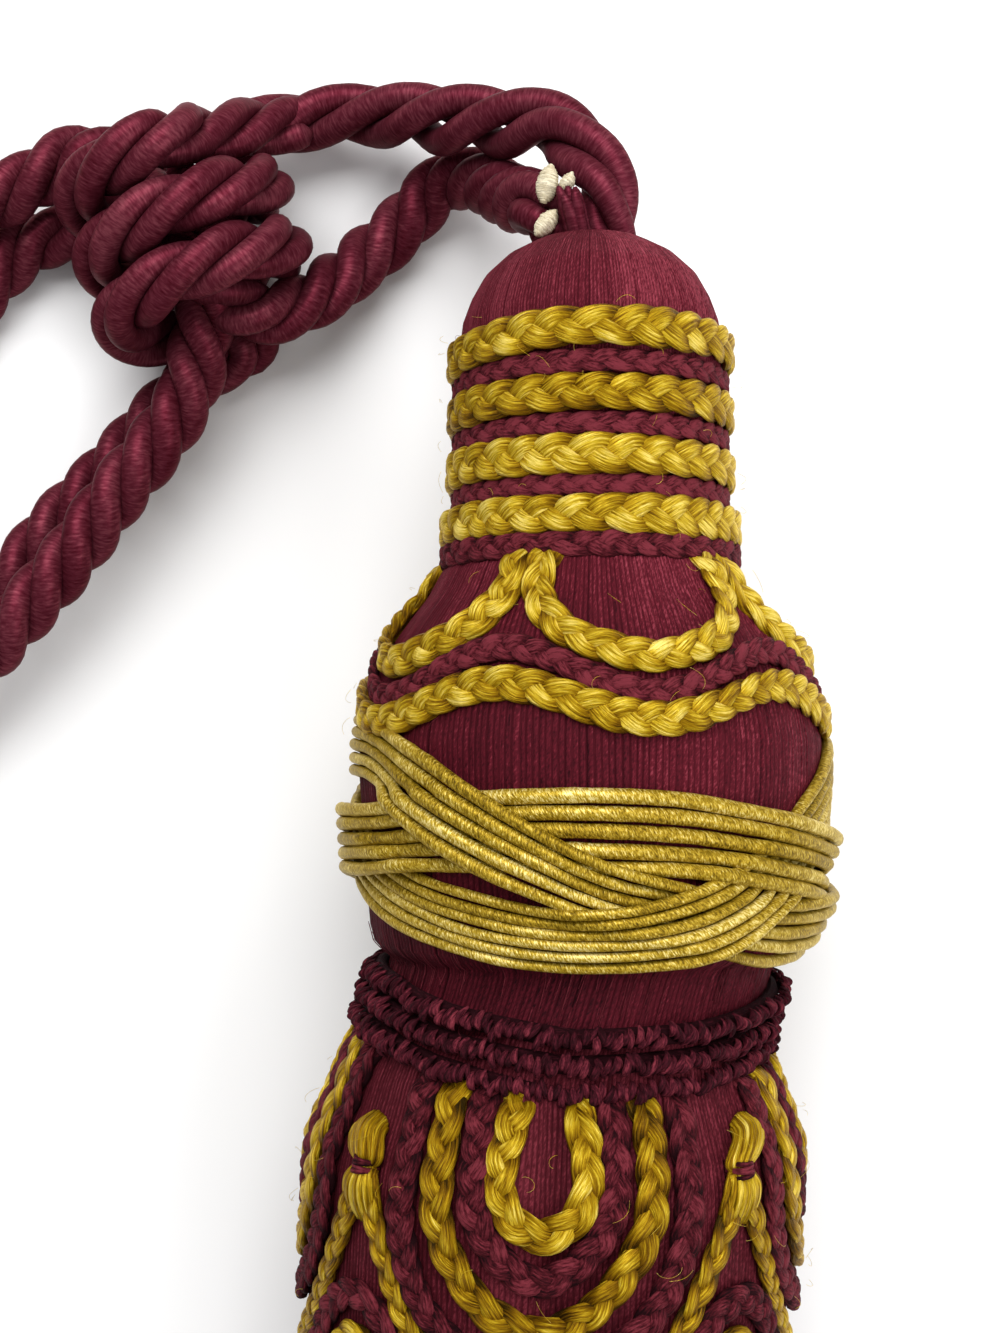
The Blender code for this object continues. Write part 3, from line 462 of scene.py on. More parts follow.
def skirt_rise(t, z, turn, core, lift):
    """How far the skirt's surface is over its axis: crowned on top, and flat on the floor."""
    rise = np.cos(turn) * (core + lift)
    crowned = np.cos(turn) * (core * column(SKIRT_LIE, t, 3) + lift)
    height = z + np.where(rise > 0.0, crowned, rise)
    floor = column(SKIRT_LIE, t, 2) - lift
    soft = 0.5 * (height + floor + np.hypot(height - floor, SKIRT_SOFTEN))
    sharp = np.maximum(height, np.maximum(floor, 0.0))
    return np.where(t >= SHARP_T, sharp, soft) - z


def on_tassel(t, angle, lift=0.0, radius=None):
    """Points at t and angle, lifted off the thread surface."""
    t, angle, lift = np.broadcast_arrays(np.asarray(t, float), angle, lift)
    turn = np.radians(angle)
    core = surface_radius(t) if radius is None else np.broadcast_to(radius, t.shape)
    low, high = NECK_SHIFT_T
    x = AXIS_X - NECK_SHIFT * smooth_step((t - low) / (high - low))
    x = x - SKIRT_LEAN * np.maximum(t - SKIRT_LEAN_T, 0.0)
    y = DOME_Y - t * math.cos(HEAD_TILT)
    top = SKIRT_LIE[0][0]
    on_skirt = t > top
    z = np.where(on_skirt, column(SKIRT_LIE, t, 1), AXIS_Z + (BALL_T - t) * math.sin(HEAD_TILT))
    rise = np.cos(turn) * (core + lift)
    rise = np.where(on_skirt, skirt_rise(t, z, turn, core, lift), rise)
    tilt = HEAD_TILT * (1.0 - smooth_step((t - top) / (TILT_FADE_T - top)))
    return np.stack([x + np.sin(turn) * (core + lift), y + rise * np.sin(tilt),
                     z + rise * np.cos(tilt)], axis=-1)


def surface_line(t, angle, lift):
    """Points on the tassel with their outward directions."""
    base = on_tassel(t, angle, lift)
    return base, unit(on_tassel(t, angle, lift + 1.0) - base)


def round_line(t, angle, radius):
    """As surface_line, at a distance from the tassel's axis."""
    base = on_tassel(t, angle, radius=radius)
    return base, unit(on_tassel(t, angle, radius=radius + 1.0) - base)


def route_on_tassel(route, step):
    """Even points along a route given as (t, angle)."""
    dense = catmull_rom([(t, math.radians(angle) * BALL_RADIUS) for t, angle in route])
    line, _ = resample(dense, step)
    return line[:, 0], degrees_round(line[:, 1])


def mirrored(route):
    return route + [(t, -angle) for t, angle in reversed(route[:-1])]


# --- meshes ---
def own_look(kind):
    """The sides of a kind of strand, with its own tone and place in the pattern."""
    sides, low, high, run = LOOKS[kind]
    return {"sides": sides, "tone": RNG.uniform(low, high), "shift": RNG.uniform(0.0, run)}


class Yarns:
    """Collects grids of points into one mesh, with coordinates for the yarn's material."""

    def __init__(self):
        self.verts, self.faces, self.coords, self.tones = [], [], [], []
        self.count = 0

    def grid(self, points, coords, tone):
        """points[n rings, m round, 3]: closed round each ring, with a cap at both ends."""
        n, m = points.shape[:2]
        index = np.arange(n * m).reshape(n, m) + self.count
        rows = np.hstack([index, index[:, :1]])
        a, b, c, d = rows[:-1, :-1], rows[:-1, 1:], rows[1:, 1:], rows[1:, :-1]
        self.faces += np.stack([a, d, c, b], axis=-1).reshape(-1, 4).tolist()
        self.faces.append(index[0].tolist())
        self.faces.append(index[-1][::-1].tolist())
        self.verts.append(points.reshape(-1, 3))
        self.coords.append(np.broadcast_to(coords, points.shape).reshape(-1, 3))
        self.tones.append(np.broadcast_to(tone, (n, m)).reshape(-1))
        self.count += n * m

    def tube(self, line, across, outward, half_width, half_height, sides, tone=0.0, shift=0.0,
             slant=0.0):
        """A strand along a line with an oval section; its wrap may slant."""
        turn = 2.0 * np.pi * np.arange(sides)[:, None] / sides
        cos, sin = np.cos(turn), np.sin(turn)
        s = distances(line) + shift
        wide = np.broadcast_to(half_width, s.shape)[:, None, None]
        high = np.broadcast_to(half_height, s.shape)[:, None, None]
        across, outward = [np.broadcast_to(v, line.shape)[:, None] for v in (across, outward)]
        ring = across * cos * wide + outward * sin * high
        side = cos * wide
        coords = np.concatenate([s[:, None, None] + slant * side, side, sin * high], axis=-1)
        self.grid(line[:, None] + ring, coords, np.broadcast_to(tone, s.shape)[:, None])

    def build(self, name, material, slot, *nodes):
        mesh = bpy.data.meshes.new(name)
        points = (np.vstack(self.verts) - ORIGIN) * MM
        mesh.from_pydata(points.tolist(), [], self.faces)
        strand = mesh.attributes.new("strand", "FLOAT_VECTOR", "POINT")
        strand.data.foreach_set("vector", np.vstack(self.coords).astype(np.float32).ravel())
        tone = mesh.attributes.new("tone", "FLOAT", "POINT")
        tone.data.foreach_set("value", np.concatenate(self.tones).astype(np.float32))
        mesh.shade_smooth()
        mesh.materials.append(material)
        mesh.update()
        obj = bpy.data.objects.new(name, mesh)
        bpy.context.scene.collection.objects.link(obj)
        if nodes:
            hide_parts(*nodes)
        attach(obj, "root")
        return obj


# --- materials ---
def linear(code):
    """A six-digit colour code as linear RGBA."""
    parts = [int(code[k:k + 2], 16) / 255.0 for k in (0, 2, 4)]
    return [p / 12.92 if p <= 0.04045 else ((p + 0.055) / 1.055) ** 2.4 for p in parts] + [1.0]


class Nodes:
    """Short names for the few shader nodes that the yarns use."""

    def __init__(self, name, **sockets):
        self.material = bpy.data.materials.new(name)
        self.material.use_nodes = True
        self.tree = self.material.node_tree
        self.shader = self.tree.nodes["Principled BSDF"]
        for key, value in sockets.items():
            self.shader.inputs[key.replace("_", " ")].default_value = value

    def add(self, kind, **values):
        node = self.tree.nodes.new(kind)
        for key, value in values.items():
            setattr(node, key, value)
        return node

    def link(self, source, target):
        self.tree.links.new(source, target)

    def tone(self):
        return self.add("ShaderNodeAttribute", attribute_name="tone").outputs["Fac"]

    def noise(self, rates, detail=2.0, rough=0.5):
        """Noise that changes at the given rates along, across and up a strand."""
        source = self.add("ShaderNodeAttribute", attribute_name="strand")
        mapping = self.add("ShaderNodeMapping")
        mapping.inputs["Scale"].default_value = rates
        self.link(source.outputs["Vector"], mapping.inputs["Vector"])
        node = self.add("ShaderNodeTexNoise")
        node.inputs["Scale"].default_value = 1.0
        node.inputs["Detail"].default_value = detail
        node.inputs["Roughness"].default_value = rough
        self.link(mapping.outputs["Vector"], node.inputs["Vector"])
        return node.outputs["Fac"]

    def math(self, operation, a, b):
        node = self.add("ShaderNodeMath", operation=operation)
        for socket, value in zip(node.inputs, (a, b)):
            if isinstance(value, float):
                socket.default_value = value
            else:
                self.link(value, socket)
        return node.outputs[0]

    def weigh(self, *terms):
        """The weighted sum of (output, weight) terms."""
        total = None
        for output, weight in terms:
            part = self.math("MULTIPLY", output, weight)
            total = part if total is None else self.math("ADD", total, part)
        return total

    def colour(self, mixed, stops):
        """Paints from a ramp of (place, colour code) stops."""
        node = self.add("ShaderNodeValToRGB")
        elements = node.color_ramp.elements
        while len(elements) < len(stops):
            elements.new(0.5)
        for element, (place, code) in zip(elements, stops):
            element.position = place
            element.color = linear(code)
        self.link(mixed, node.inputs["Fac"])
        self.link(node.outputs["Color"], self.shader.inputs["Base Color"])

    def bump(self, height, distance):
        node = self.add("ShaderNodeBump")
        node.inputs["Distance"].default_value = distance * MM
        self.link(height, node.inputs["Height"])
        self.link(node.outputs["Normal"], self.shader.inputs["Normal"])


def silk_material(name, stops, **finish):
    """Loose shiny filaments: streaks that run along each strand, partly their own tone and partly
    painted sheen.
    """
    n = Nodes(name, **finish)
    streaks = n.noise((0.2, 3.4, 3.4), 5.0, 0.68)
    fine = n.noise((0.35, 9.0, 9.0))
    slow = n.noise((0.12, 0.4, 0.4), 1.0)
    n.colour(n.weigh((streaks, 0.62), (slow, 0.22), (fine, 0.16), (n.tone(), 0.11)), stops)
    n.bump(n.weigh((streaks, 0.8), (fine, 0.2)), 0.55)
    return n.material


def wool_material(name, stops, roughness):
    """Plied matte yarn: soft streaks."""
    n = Nodes(name, Roughness=roughness, Specular_IOR_Level=0.08)
    streaks = n.noise((0.7, 3.0, 3.0), 5.0, 0.68)
    n.colour(n.weigh((streaks, 0.85), (n.tone(), 0.13)), stops)
    n.bump(streaks, 0.45)
    return n.material


def wrapped_material(name, stops, rib_rates, blotch_weight, depth, **finish):
    """Thread wrapped closely round a core: fine uneven ribs across the strand."""
    n = Nodes(name, **finish)
    ribs = n.noise(rib_rates, 2.0, 0.6)
    blotch = n.noise((1.1, 0.8, 0.8), 4.0, 0.7)
    slow = n.noise((0.1, 0.3, 0.3), 1.0)
    n.colour(n.weigh((ribs, 0.8 - blotch_weight), (blotch, blotch_weight), (slow, 0.2),
                     (n.tone(), 0.05)), stops)
    n.bump(n.weigh((ribs, 0.8), (blotch, 0.2)), depth)
    return n.material


def thread_material(name, stops, ply_pitch):
    """Straight threads laid side by side: the grooves are painted dark as shade and the plies
    slant.
    """
    n = Nodes(name, Roughness=0.7, Specular_IOR_Level=0.06)
    ply = n.noise((1.0 / ply_pitch, 2.4, 1.0))
    fibre = n.noise((0.35, 3.0, 1.0), 3.0, 0.6)
    n.colour(n.weigh((ply, 0.34), (fibre, 0.22), (n.tone(), 0.44)), stops)
    n.bump(n.weigh((ply, 0.3), (fibre, 0.7)), 0.25)
    return n.material


# partly painted sheen: the palest stops stand in for glints along the filaments
GOLD_SILK = silk_material(
    "gold_silk",
    [(0.33, "221200"), (0.43, "6A4602"), (0.52, "A07C0C"), (0.6, "D0B02A"), (0.68, "F4DC74")],
    Roughness=0.31, Metallic=0.45, Specular_IOR_Level=0.35, Specular_Tint=linear("F4DC80"))
BURGUNDY_WOOL = wool_material(
    "burgundy_wool", [(0.27, "1A0206"), (0.4, "460F18"), (0.54, "722A34")], 0.72)
GOLD_GIMP = wrapped_material(
    "gold_gimp", [(0.34, "4A3806"), (0.46, "886C14"), (0.55, "B0942E"), (0.66, "E4D28A")],
    (4.2, 1.5, 1.5), 0.14, 0.13,
    Roughness=0.4, Metallic=0.35, Specular_IOR_Level=0.25, Specular_Tint=linear("F6E6A0"))
ROPE_YARN = wrapped_material(
    "rope_wrap", [(0.3, "420E19"), (0.5, "58202C"), (0.7, "743842")],
    (3.0, 0.5, 0.5), 0.1, 0.055,
    Roughness=0.42, Metallic=0.42, Specular_IOR_Level=0.06, Specular_Tint=linear("A84C5A"))
HEAD_THREAD = thread_material(
    "head_thread", [(0.3, "1C0308"), (0.48, "54131F"), (0.64, "98404E")], 0.45)
SKIRT_THREAD = thread_material(
    "skirt_thread", [(0.3, "180207"), (0.48, "461019"), (0.64, "7A2E3A")], 0.5)
CROCHET = wool_material(
    "crochet_wool", [(0.3, "22050B"), (0.45, "4A1420"), (0.62, "85343F")], 0.8)
COTTON = wool_material(
    "cotton_core", [(0.2, "8A7C62"), (0.42, "D0C2A2"), (0.6, "EEE4C8")], 0.9)


# --- plaits ---
def lay_plait(yarns, t, angle, width, pitch, lift=PLAIT_LIFT, loop=False, flat=PLAIT_FLAT,
              dull=0.0):
    """Three strands crossing over and under along t and angle; a loop closes evenly."""
    base, outward = surface_line(t, angle, lift)
    across = crosswise(base, outward)
    s = distances(base)
    if loop:
        pitch = s[-1] / round(s[-1] / pitch)
    pull = slow_noise(s, CROSSING_SPAN * pitch, CROSSING_STRAY)
    full = 1.0 + slow_noise(s, FULLNESS_SPAN * pitch, FULLNESS_STRAY)
    half_width = STRAND_HALF_WIDTH * width * full
    half_height = STRAND_HALF_HEIGHT * width * flat
    for strand in range(3):
        phase = 2.0 * np.pi * (s / pitch + strand / 3.0) + pull + RNG.normal(0.0, STRAND_STRAY)
        over = np.sin(2.0 * phase)
        side = PLAIT_SWING * width * full * np.sin(phase)
        rise = STRAND_HOP * width * flat * (over + STRAND_SEAT) + half_height
        line = base + across * side[:, None] + outward * rise[:, None]
        tangent = unit(np.gradient(line, axis=0))
        lateral = unit(np.cross(outward, tangent))
        up = unit(np.cross(tangent, lateral))
        swell = 1.0 + STRAND_SWELL * np.cos(2.0 * phase)
        look = own_look("plait")
        # painted light and shade: paler where the strand rides over, darker where it dips under
        # painted shade: the skirt's plaits are darker than the bands
        look["tone"] = look["tone"] + OVER_UNDER_PAINTED_LIGHT * over - dull
        yarns.tube(line, lateral, up, half_width * swell, half_height * (2.0 - swell), **look)


def build_plait(name, t, angle, width, pitch, **lie):
    """A plait as a piece of its own, gold or burgundy as its name says."""
    yarns = Yarns()
    lay_plait(yarns, t, angle, width, pitch, **lie)
    material, slot = (GOLD_SILK, "gold") if "gold" in name else (BURGUNDY_WOOL, "burgundy")
    yarns.build(name + "_plait", material, slot, name)


def plait_step(name, gold=GOLD_STEP):
    return gold if "gold" in name else BURGUNDY_STEP


def tucked(t, edge, dip):
    """The lift of a plait whose ends dip under the trimming above, at edge."""
    run, depth = dip
    return PLAIT_LIFT - depth * (1.0 - smooth_step((t - edge) / run))


def build_bands():
    """The plaits round the collar; each sags a little on the side where it is slack."""
    for name, centre, width, sag, pitch in BANDS:
        angle = ring_angles(COLLAR_RADIUS, plait_step(name, GOLD_RING_STEP))
        slack = np.maximum(np.cos(np.radians(angle - BAND_SLACK_ANGLE)), 0.0) ** 3
        build_plait(name, centre + sag * slack, angle, width, pitch, loop=True, flat=BAND_FLAT)


def build_swags():
    full = mirrored([SWAG_TUCK, *SWAG_ROUTE])
    for k in range(REPEATS):
        turn = SWAG_ANGLE + 360.0 * k / REPEATS
        t, angle = route_on_tassel([(a, b + turn) for a, b in full], GOLD_STEP)
        build_plait(f"swag_gold_{k + 1}", t, angle, SWAG_WIDTH, SWAG_PITCH,
                    lift=tucked(t, SWAG_TUCK[0] + SWAG_EDGE, SWAG_DIP))


def build_waves():
    for name, mean, swing, width, pitch in WAVES:
        angle = ring_angles(SHOULDER_RADIUS, plait_step(name, GOLD_RING_STEP))
        t = mean + swing * np.cos(np.radians(REPEATS * (angle - SWAG_ANGLE)))
        build_plait(name, t, angle, width, pitch, loop=True)


def build_motifs():
    """The nested U plaits, and between them the tufts over their arches."""
    for k in range(MOTIFS):
        u_turn = U_ANGLE + 360.0 * k / MOTIFS
        for name, (width, pitch, route) in U_BRAIDS.items():
            full = [(t, angle + u_turn) for t, angle in mirrored(route)]
            full = [under_ruffle(*full[0]), *full[1:-1], under_ruffle(*full[-1])]
            t, angle = route_on_tassel(full, plait_step(name))
            edge = np.linspace(t[0], t[-1], len(t))
            build_plait(f"{name}_{k + 1}", t, angle, width, pitch, lift=tucked(t, edge, U_DIP),
                        dull=SKIRT_PAINTED_SHADE[name])
        tuft_turn = u_turn + TUFT_FROM_U
        for name, (width, pitch, route) in ARCHES.items():
            full = [(t, angle + tuft_turn) for t, angle in mirrored(route)]
            t, angle = route_on_tassel(full, plait_step(name))
            build_plait(f"{name}_{k + 1}", t, angle, width, pitch, dull=SKIRT_PAINTED_SHADE[name])
        build_tuft(k, tuft_turn)


def under_ruffle(t, angle):
    """A plait's end, tucked up under the ruffle's lower edge."""
    edge = column(RUFFLE_LINE, wrapped(angle), 1) + RUFFLE_EDGE * RUFFLE_PITCH
    return min(t, float(edge)), angle


def build_tuft(k, turn):
    """Two plaited legs under a knob of yarn folded over and bound."""
    yarns = Yarns()
    for side in (-1.0, 1.0):
        route = [(t, side * angle + turn) for t, angle in LEG_ROUTE]
        t, angle = route_on_tassel(route, GOLD_STEP)
        lay_plait(yarns, t, angle, LEG_WIDTH, LEG_PITCH, dull=SKIRT_PAINTED_SHADE["leg"])
    spread_yarns(yarns, turn, *KNOB, KNOB_LEANS[k])
    spread_yarns(yarns, turn, *FORK)
    yarns.build(f"tuft_gold_{k + 1}_plait", GOLD_SILK, "gold", f"tuft_gold_{k + 1}")
    bind_tuft(k, turn)


def spread_yarns(yarns, turn, count, reach, width, height, lean=0.0):
    """Yarns side by side from the binding, over a small cushion and under."""
    even = np.linspace(0.0, 1.0, len(width))
    sway = lean * smooth_step(even)
    for place in np.linspace(-1.0, 1.0, count):
        along = (reach - FOLDED_ROUND * np.sign(reach) * place ** 2) * even
        rise = np.array(height) * (1.0 - FOLDED_CROWN * place ** 2)
        lift = FOLDED_SEAT + rise + RNG.normal(0.0, 0.08)
        side = place * np.array(width) + BALL_RADIUS * np.radians(sway) + RNG.normal(0.0, 0.06)
        dense = catmull_rom(np.stack([along, side, lift], axis=1), 5)
        line, outward = surface_line(BINDING_T + dense[:, 0], turn + degrees_round(dense[:, 1]),
                                     dense[:, 2])
        across = crosswise(line, outward)
        up = np.cross(unit(np.gradient(line, axis=0)), across)
        yarns.tube(line, across, up, FOLDED_YARN, FOLDED_YARN, **own_look("folded"))


def bind_tuft(k, turn):
    """The burgundy yarn wound over a tuft."""
    yarns = Yarns()
    reach = np.linspace(-1.0, 1.0, 11)
    low, rise = BINDING_LIFT
    for row in range(BINDING_TURNS):
        middle = BINDING_T + BINDING_PITCH * (row - 0.5 * (BINDING_TURNS - 1))
        t = middle + BINDING_SLANT * reach * (-1.0) ** row
        angle = turn + reach * degrees_round(BINDING_HALF_WIDTH)
        line, outward = surface_line(t, angle, low + rise * arched(reach))
        yarns.tube(line, crosswise(line, outward), outward, BINDING_YARN, BINDING_YARN, sides=8,
                   tone=RNG.uniform(-1.0, 1.0))
    yarns.build(f"tuft_binding_{k + 1}", BURGUNDY_WOOL, "burgundy")


# --- gimp ---
def gimp_edges(key, angle):
    """The upper and the lower edge of a bundle, above the ball's equator."""
    upper = 1 + 2 * list(GIMP_CORDS).index(key)
    near = [wrapped(wrapped(angle) + shift) for shift in (-GIMP_BLUR, 0.0, GIMP_BLUR)]
    return [sum(column(GIMP_ROWS, spot, k) for spot in near) / 3.0 for k in (upper, upper + 1)]


def gimp_lift(key, angle, height):
    """How far a cord stands off where its bundle rides over the next."""
    upper, lower = gimp_edges(GIMP_RIDES_ON[key], angle)
    away = np.maximum(height - upper, lower - height)
    overlap, run = GIMP_RAMP
    return GIMP_LAYER * (1.0 - smooth_step((away + overlap) / run))


def gimp_radius(angle, upper, lower, cords):
    """The cords' radius where a bundle is narrow or runs at a slope."""
    arc = BALL_RADIUS * math.radians(angle[1] - angle[0])
    slope = np.gradient(0.5 * (upper + lower)) / arc
    radius = GIMP_PACKING * (upper - lower) / cords / np.sqrt(1.0 + slope ** 2)
    return np.clip(radius, GIMP_THIN, GIMP_RADIUS)


def gimp_cord(yarns, angle, height, radius, lift):
    """One cord, all the way round the ball."""
    way = angle + 180.0
    height = height + slow_noise(way, *GIMP_STRAY)
    base, outward = surface_line(BALL_T - height, angle, radius + GIMP_SEAT + lift)
    base[:, 2] = np.maximum(base[:, 2], radius)
    thick = radius * (1.0 + slow_noise(way, *GIMP_UNEVEN))
    yarns.tube(base, crosswise(base, outward), outward, thick, thick, slant=GIMP_SLANT,
               **own_look("gimp"))


def build_gimp():
    """Three bundles of cord; each rides over one of the others and under the third."""
    angle = ring_angles(BALL_RADIUS, GIMP_STEP)
    for key, cords in GIMP_CORDS.items():
        yarns = Yarns()
        upper, lower = gimp_edges(key, angle)
        radius = gimp_radius(angle, upper, lower, cords)
        heights = [(upper - radius) * (1.0 - share) + (lower + radius) * share
                   for share in np.linspace(0.0, 1.0, cords)]
        together = np.mean([gimp_lift(key, angle, height) for height in heights], axis=0)
        for height in heights:
            lift = np.maximum(gimp_lift(key, angle, height), together)
            gimp_cord(yarns, angle, height, radius, lift)
        yarns.build(f"gimp_cords_{key}", GOLD_GIMP, "gold", f"gimp_bundle_{key}")


# --- ruffle ---
def build_ruffles():
    """Rows of crochet: knobbly stitches side by side over a core painted dark as shade."""
    for row in range(RUFFLE_ROWS):
        yarns = Yarns()
        drop = (row - 1) * RUFFLE_PITCH
        angle = np.linspace(-180.0, 180.0, 97)
        line = column(RUFFLE_LINE, angle, 1) + drop
        base, outward = round_line(line, angle, RUFFLE_CORE_RADIUS)
        # painted shade: the core is dark, for the gaps between the stitches
        yarns.tube(base, crosswise(base, outward), outward, *RUFFLE_CORE, sides=8, tone=-1.2)
        for j in range(STITCHES):
            stitch(yarns, drop, -180.0 + 360.0 * (j + 0.5 * (row % 2)) / STITCHES)
        yarns.build(f"ruffle_{row + 1}_crochet", CROCHET, "burgundy", f"ruffle_{row + 1}")


def stitch(yarns, drop, place):
    """One stitch of crochet: two short upright rolls, close side by side."""
    u = np.linspace(-1.0, 1.0, 8)
    middle = column(RUFFLE_LINE, place, 1) + drop
    for roll in STITCH_ROLLS:
        t = middle + RNG.normal(0.0, STITCH_DROP) + RNG.uniform(*STITCH_HALF_LENGTH) * u
        lean = degrees_round(RNG.normal(0.0, STITCH_LEAN))
        shift = degrees_round(RNG.normal(0.0, STITCH_SHIFT))
        angle = place + 360.0 * roll / STITCHES + shift + lean * u
        radius = STITCH_RADIUS + RNG.normal(*STITCH_BULGE) * arched(0.94 * u)
        line, outward = round_line(t, angle, radius)
        thick = RNG.uniform(*STITCH_THICK) * arched(0.9 * u, 0.1)
        yarns.tube(line, crosswise(line, outward), outward, thick, thick, **own_look("stitch"))


# --- threads of the head and the skirt ---
def per_column(values):
    """The threads' values, for each of a thread's columns of points."""
    return np.repeat(values, len(THREAD_GROOVE))[None]


def grooves(threads):
    """How deep each column of points is; some grooves are deeper."""
    deep = np.where(RNG.random(threads) < DEEP_SHARE, DEEP, SHALLOW)
    return np.tile(THREAD_GROOVE, threads)[None] * per_column(deep * RNG.uniform(0.4, 1.2, threads))


def slow_round(columns):
    """Random numbers that change slowly round the tassel."""
    noise = np.tile(RNG.normal(0.0, 1.0, columns), 3)
    return np.convolve(noise, np.ones(41) / 41, "same")[columns:columns * 2][None]


def parted(t, ragged, threads):
    """Threads gathered into locks of four, which end unevenly."""
    low, high = ragged
    locks = np.repeat(RNG.normal(0.0, 1.0, threads // 4), 4) + RNG.normal(0.0, 0.5, threads)
    return t + smooth_step((t - low) / (high - low)) * per_column(np.clip(locks, -2.5, 2.0))


def thread_coords(t, threads):
    """Along, across and a number of its own, for each thread's material."""
    width = 2.0 * np.pi * BALL_RADIUS / threads
    across = np.tile(THREAD_PLACES, threads)[None] * width
    along = t + per_column(RNG.uniform(0.0, 90.0, threads)) + THREAD_SLANT * across
    number = per_column(RNG.uniform(0.0, 90.0, threads))
    return np.stack(np.broadcast_arrays(along, across, number), axis=-1)


def thread_surface(yarns, t_rows, threads, depth, lift=0.0, painted_shade=((0.0, 0.0),), ragged=None):
    """Threads side by side, with a groove and two points on the crown of each.

    Its painted shade is how far the tone drops along t; ragged is the stretch over which the ends
    part."""
    groove = grooves(threads)
    slow = slow_round(groove.size)
    t = np.array(t_rows)[:, None] + np.zeros_like(groove)
    if ragged:
        t = parted(t, ragged, threads)
    angle = np.linspace(-180.0, 180.0, groove.size, endpoint=False)[None]
    wander = 0.3 * np.sin(t * 0.09 + slow * 9.0)
    points = on_tassel(t, angle + wander, lift + depth * (0.6 - groove))
    # painted shade: the grooves are darker than the threads' crowns
    tone = per_column(RNG.uniform(*THREAD_TONE, threads)) - 0.14 * groove + 0.25 * slow
    # painted shade: darker along t, as the table gives
    tone = tone - column(painted_shade, t, 1)
    coords = thread_coords(t, threads)
    if ragged:
        back, below = HEM_TURNED_IN
        points = np.concatenate([points, on_tassel(t[-1:] - back, angle, below)])
        coords = np.concatenate([coords, coords[-1:]])
        # painted shade: the row turned in under the hem is darker
        tone = np.concatenate([tone, tone[-1:] - 0.3])
    yarns.grid(points, coords, np.clip(tone, 0.0, 1.0))


def build_head():
    """The wound mould; its threads run on down under the ruffle."""
    rows = np.concatenate([np.linspace(1.6, 12.0, 18), np.linspace(13.2, 118.0, 84),
                           np.linspace(119.0, 128.5, 9)])
    yarns = Yarns()
    thread_surface(yarns, rows, HEAD_THREADS, HEAD_DEPTH, lift=HEAD_LIFT, painted_shade=HEAD_PAINTED_SHADE)
    yarns.build("head_threads", HEAD_THREAD, "burgundy", "head")


def build_skirt():
    """The hanging threads, and the cut ends inside their hem."""
    rows = np.concatenate([[124.0, 128.0, 132.0, 136.0, 137.4], np.linspace(138.2, 262.0, 50),
                           np.linspace(264.5, HEM_RAGGED[1], 9)])
    yarns = Yarns()
    thread_surface(yarns, rows, SKIRT_THREADS, SKIRT_DEPTH, ragged=HEM_RAGGED)
    hem_strands(yarns)
    yarns.build("skirt_threads", SKIRT_THREAD, "burgundy", "skirt")


def hem_strands(yarns):
    """The cut ends that fill the hem, packed evenly from the middle outwards."""
    size = HEM_END_RADIUS * np.array([0.8, 1.0, 0.75])
    for k in range(HEM_ENDS):
        share = math.sqrt((k + 0.5) / HEM_ENDS)
        turn = (k * GOLDEN_ANGLE) % 360.0
        t = np.linspace(HEM_T - HEM_END_LENGTH, HEM_T - abs(RNG.normal(0.0, 1.1)) - 0.4, 3)
        centre = on_tassel(t, turn, radius=0.001)
        middle = centre + (on_tassel(t, turn, -1.0) - centre) * share
        middle[-1] += RNG.normal(0.0, 0.3, 3) * (1.0, 0.0, 1.0)
        middle[:, 2] = np.maximum(middle[:, 2], HEM_END_RADIUS)
        yarns.tube(middle, ACROSS, -UP, size, size, **own_look("hem"))


# --- rope ---
def strand_sizes(s, radius, drawn_in, opened):
    """A strand's radius along the rope, and how far its middle is from the rope's line."""
    thick = radius / (1.0 + STRAND_REACH) * np.ones(len(s))
    reach = STRAND_REACH * thick
    if drawn_in:
        squeeze = 1.0 - LEG_SQUEEZE * (1.0 - smooth_step(s / drawn_in))
        thick, reach = thick * squeeze, reach * squeeze
    if opened:
        middle, width, extra = opened
        reach = reach * (1.0 + extra * np.exp(-((s - middle) / width) ** 2))
    ends = np.minimum(s, s[-1] - s)
    tip = np.sqrt(np.clip(1.0 - (1.0 - ends / END_ROUND) ** 2 * (ends < END_ROUND), 0.04, 1.0))
    return thick * tip, reach


def rope(node, line, radius=ROPE_RADIUS, twist=ROPE_LAY, drawn_in=None, opened=None):
    """Three wrapped strands laid up round a line."""
    line, s = resample(line, ROPE_STEP)
    side, up = carried_frames(line)
    thick, reach = strand_sizes(s, radius, drawn_in, opened)
    yarns = Yarns()
    for strand in range(3):
        turn = 2.0 * np.pi * strand / 3.0 - 2.0 * np.pi * s / twist
        offset = side * np.cos(turn)[:, None] + up * np.sin(turn)[:, None]
        centre = line + offset * reach[:, None]
        centre[:, 2] = np.maximum(centre[:, 2], thick)
        tangent = unit(np.gradient(centre, axis=0))
        outward = unit(offset - tangent * np.sum(offset * tangent, axis=1, keepdims=True))
        yarns.tube(centre, np.cross(outward, tangent), outward, thick * 1.02, thick, slant=0.1,
                   **own_look("rope"))
    obj = yarns.build(node + "_strands", ROPE_YARN, "burgundy", node)


def knot_line():
    """The knot's coil with its lead-in; the first part of a turn is narrower."""
    angle = np.linspace(*KNOT_ANGLES, KNOT_POINTS)
    turn = np.radians(angle)
    half = np.where(angle > 90.0, KNOT_HALF_WIDTH, KNOT_FIRST_HALF_WIDTH)
    along = (angle - KNOT_MIDDLE) / 360.0 * KNOT_PITCH
    coil = (KNOT_CENTRE + KNOT_AXIS * along[:, None] + KNOT_ROW * (np.cos(turn) * half)[:, None]
            + UP * (np.sin(turn) * KNOT_HALF_HEIGHT)[:, None])
    lead = catmull_rom([*KNOT_START, coil[0], coil[KNOT_JOIN], coil[2 * KNOT_JOIN]])
    return np.vstack([lead[:-2 * CURVE_POINTS], coil[KNOT_JOIN:]])


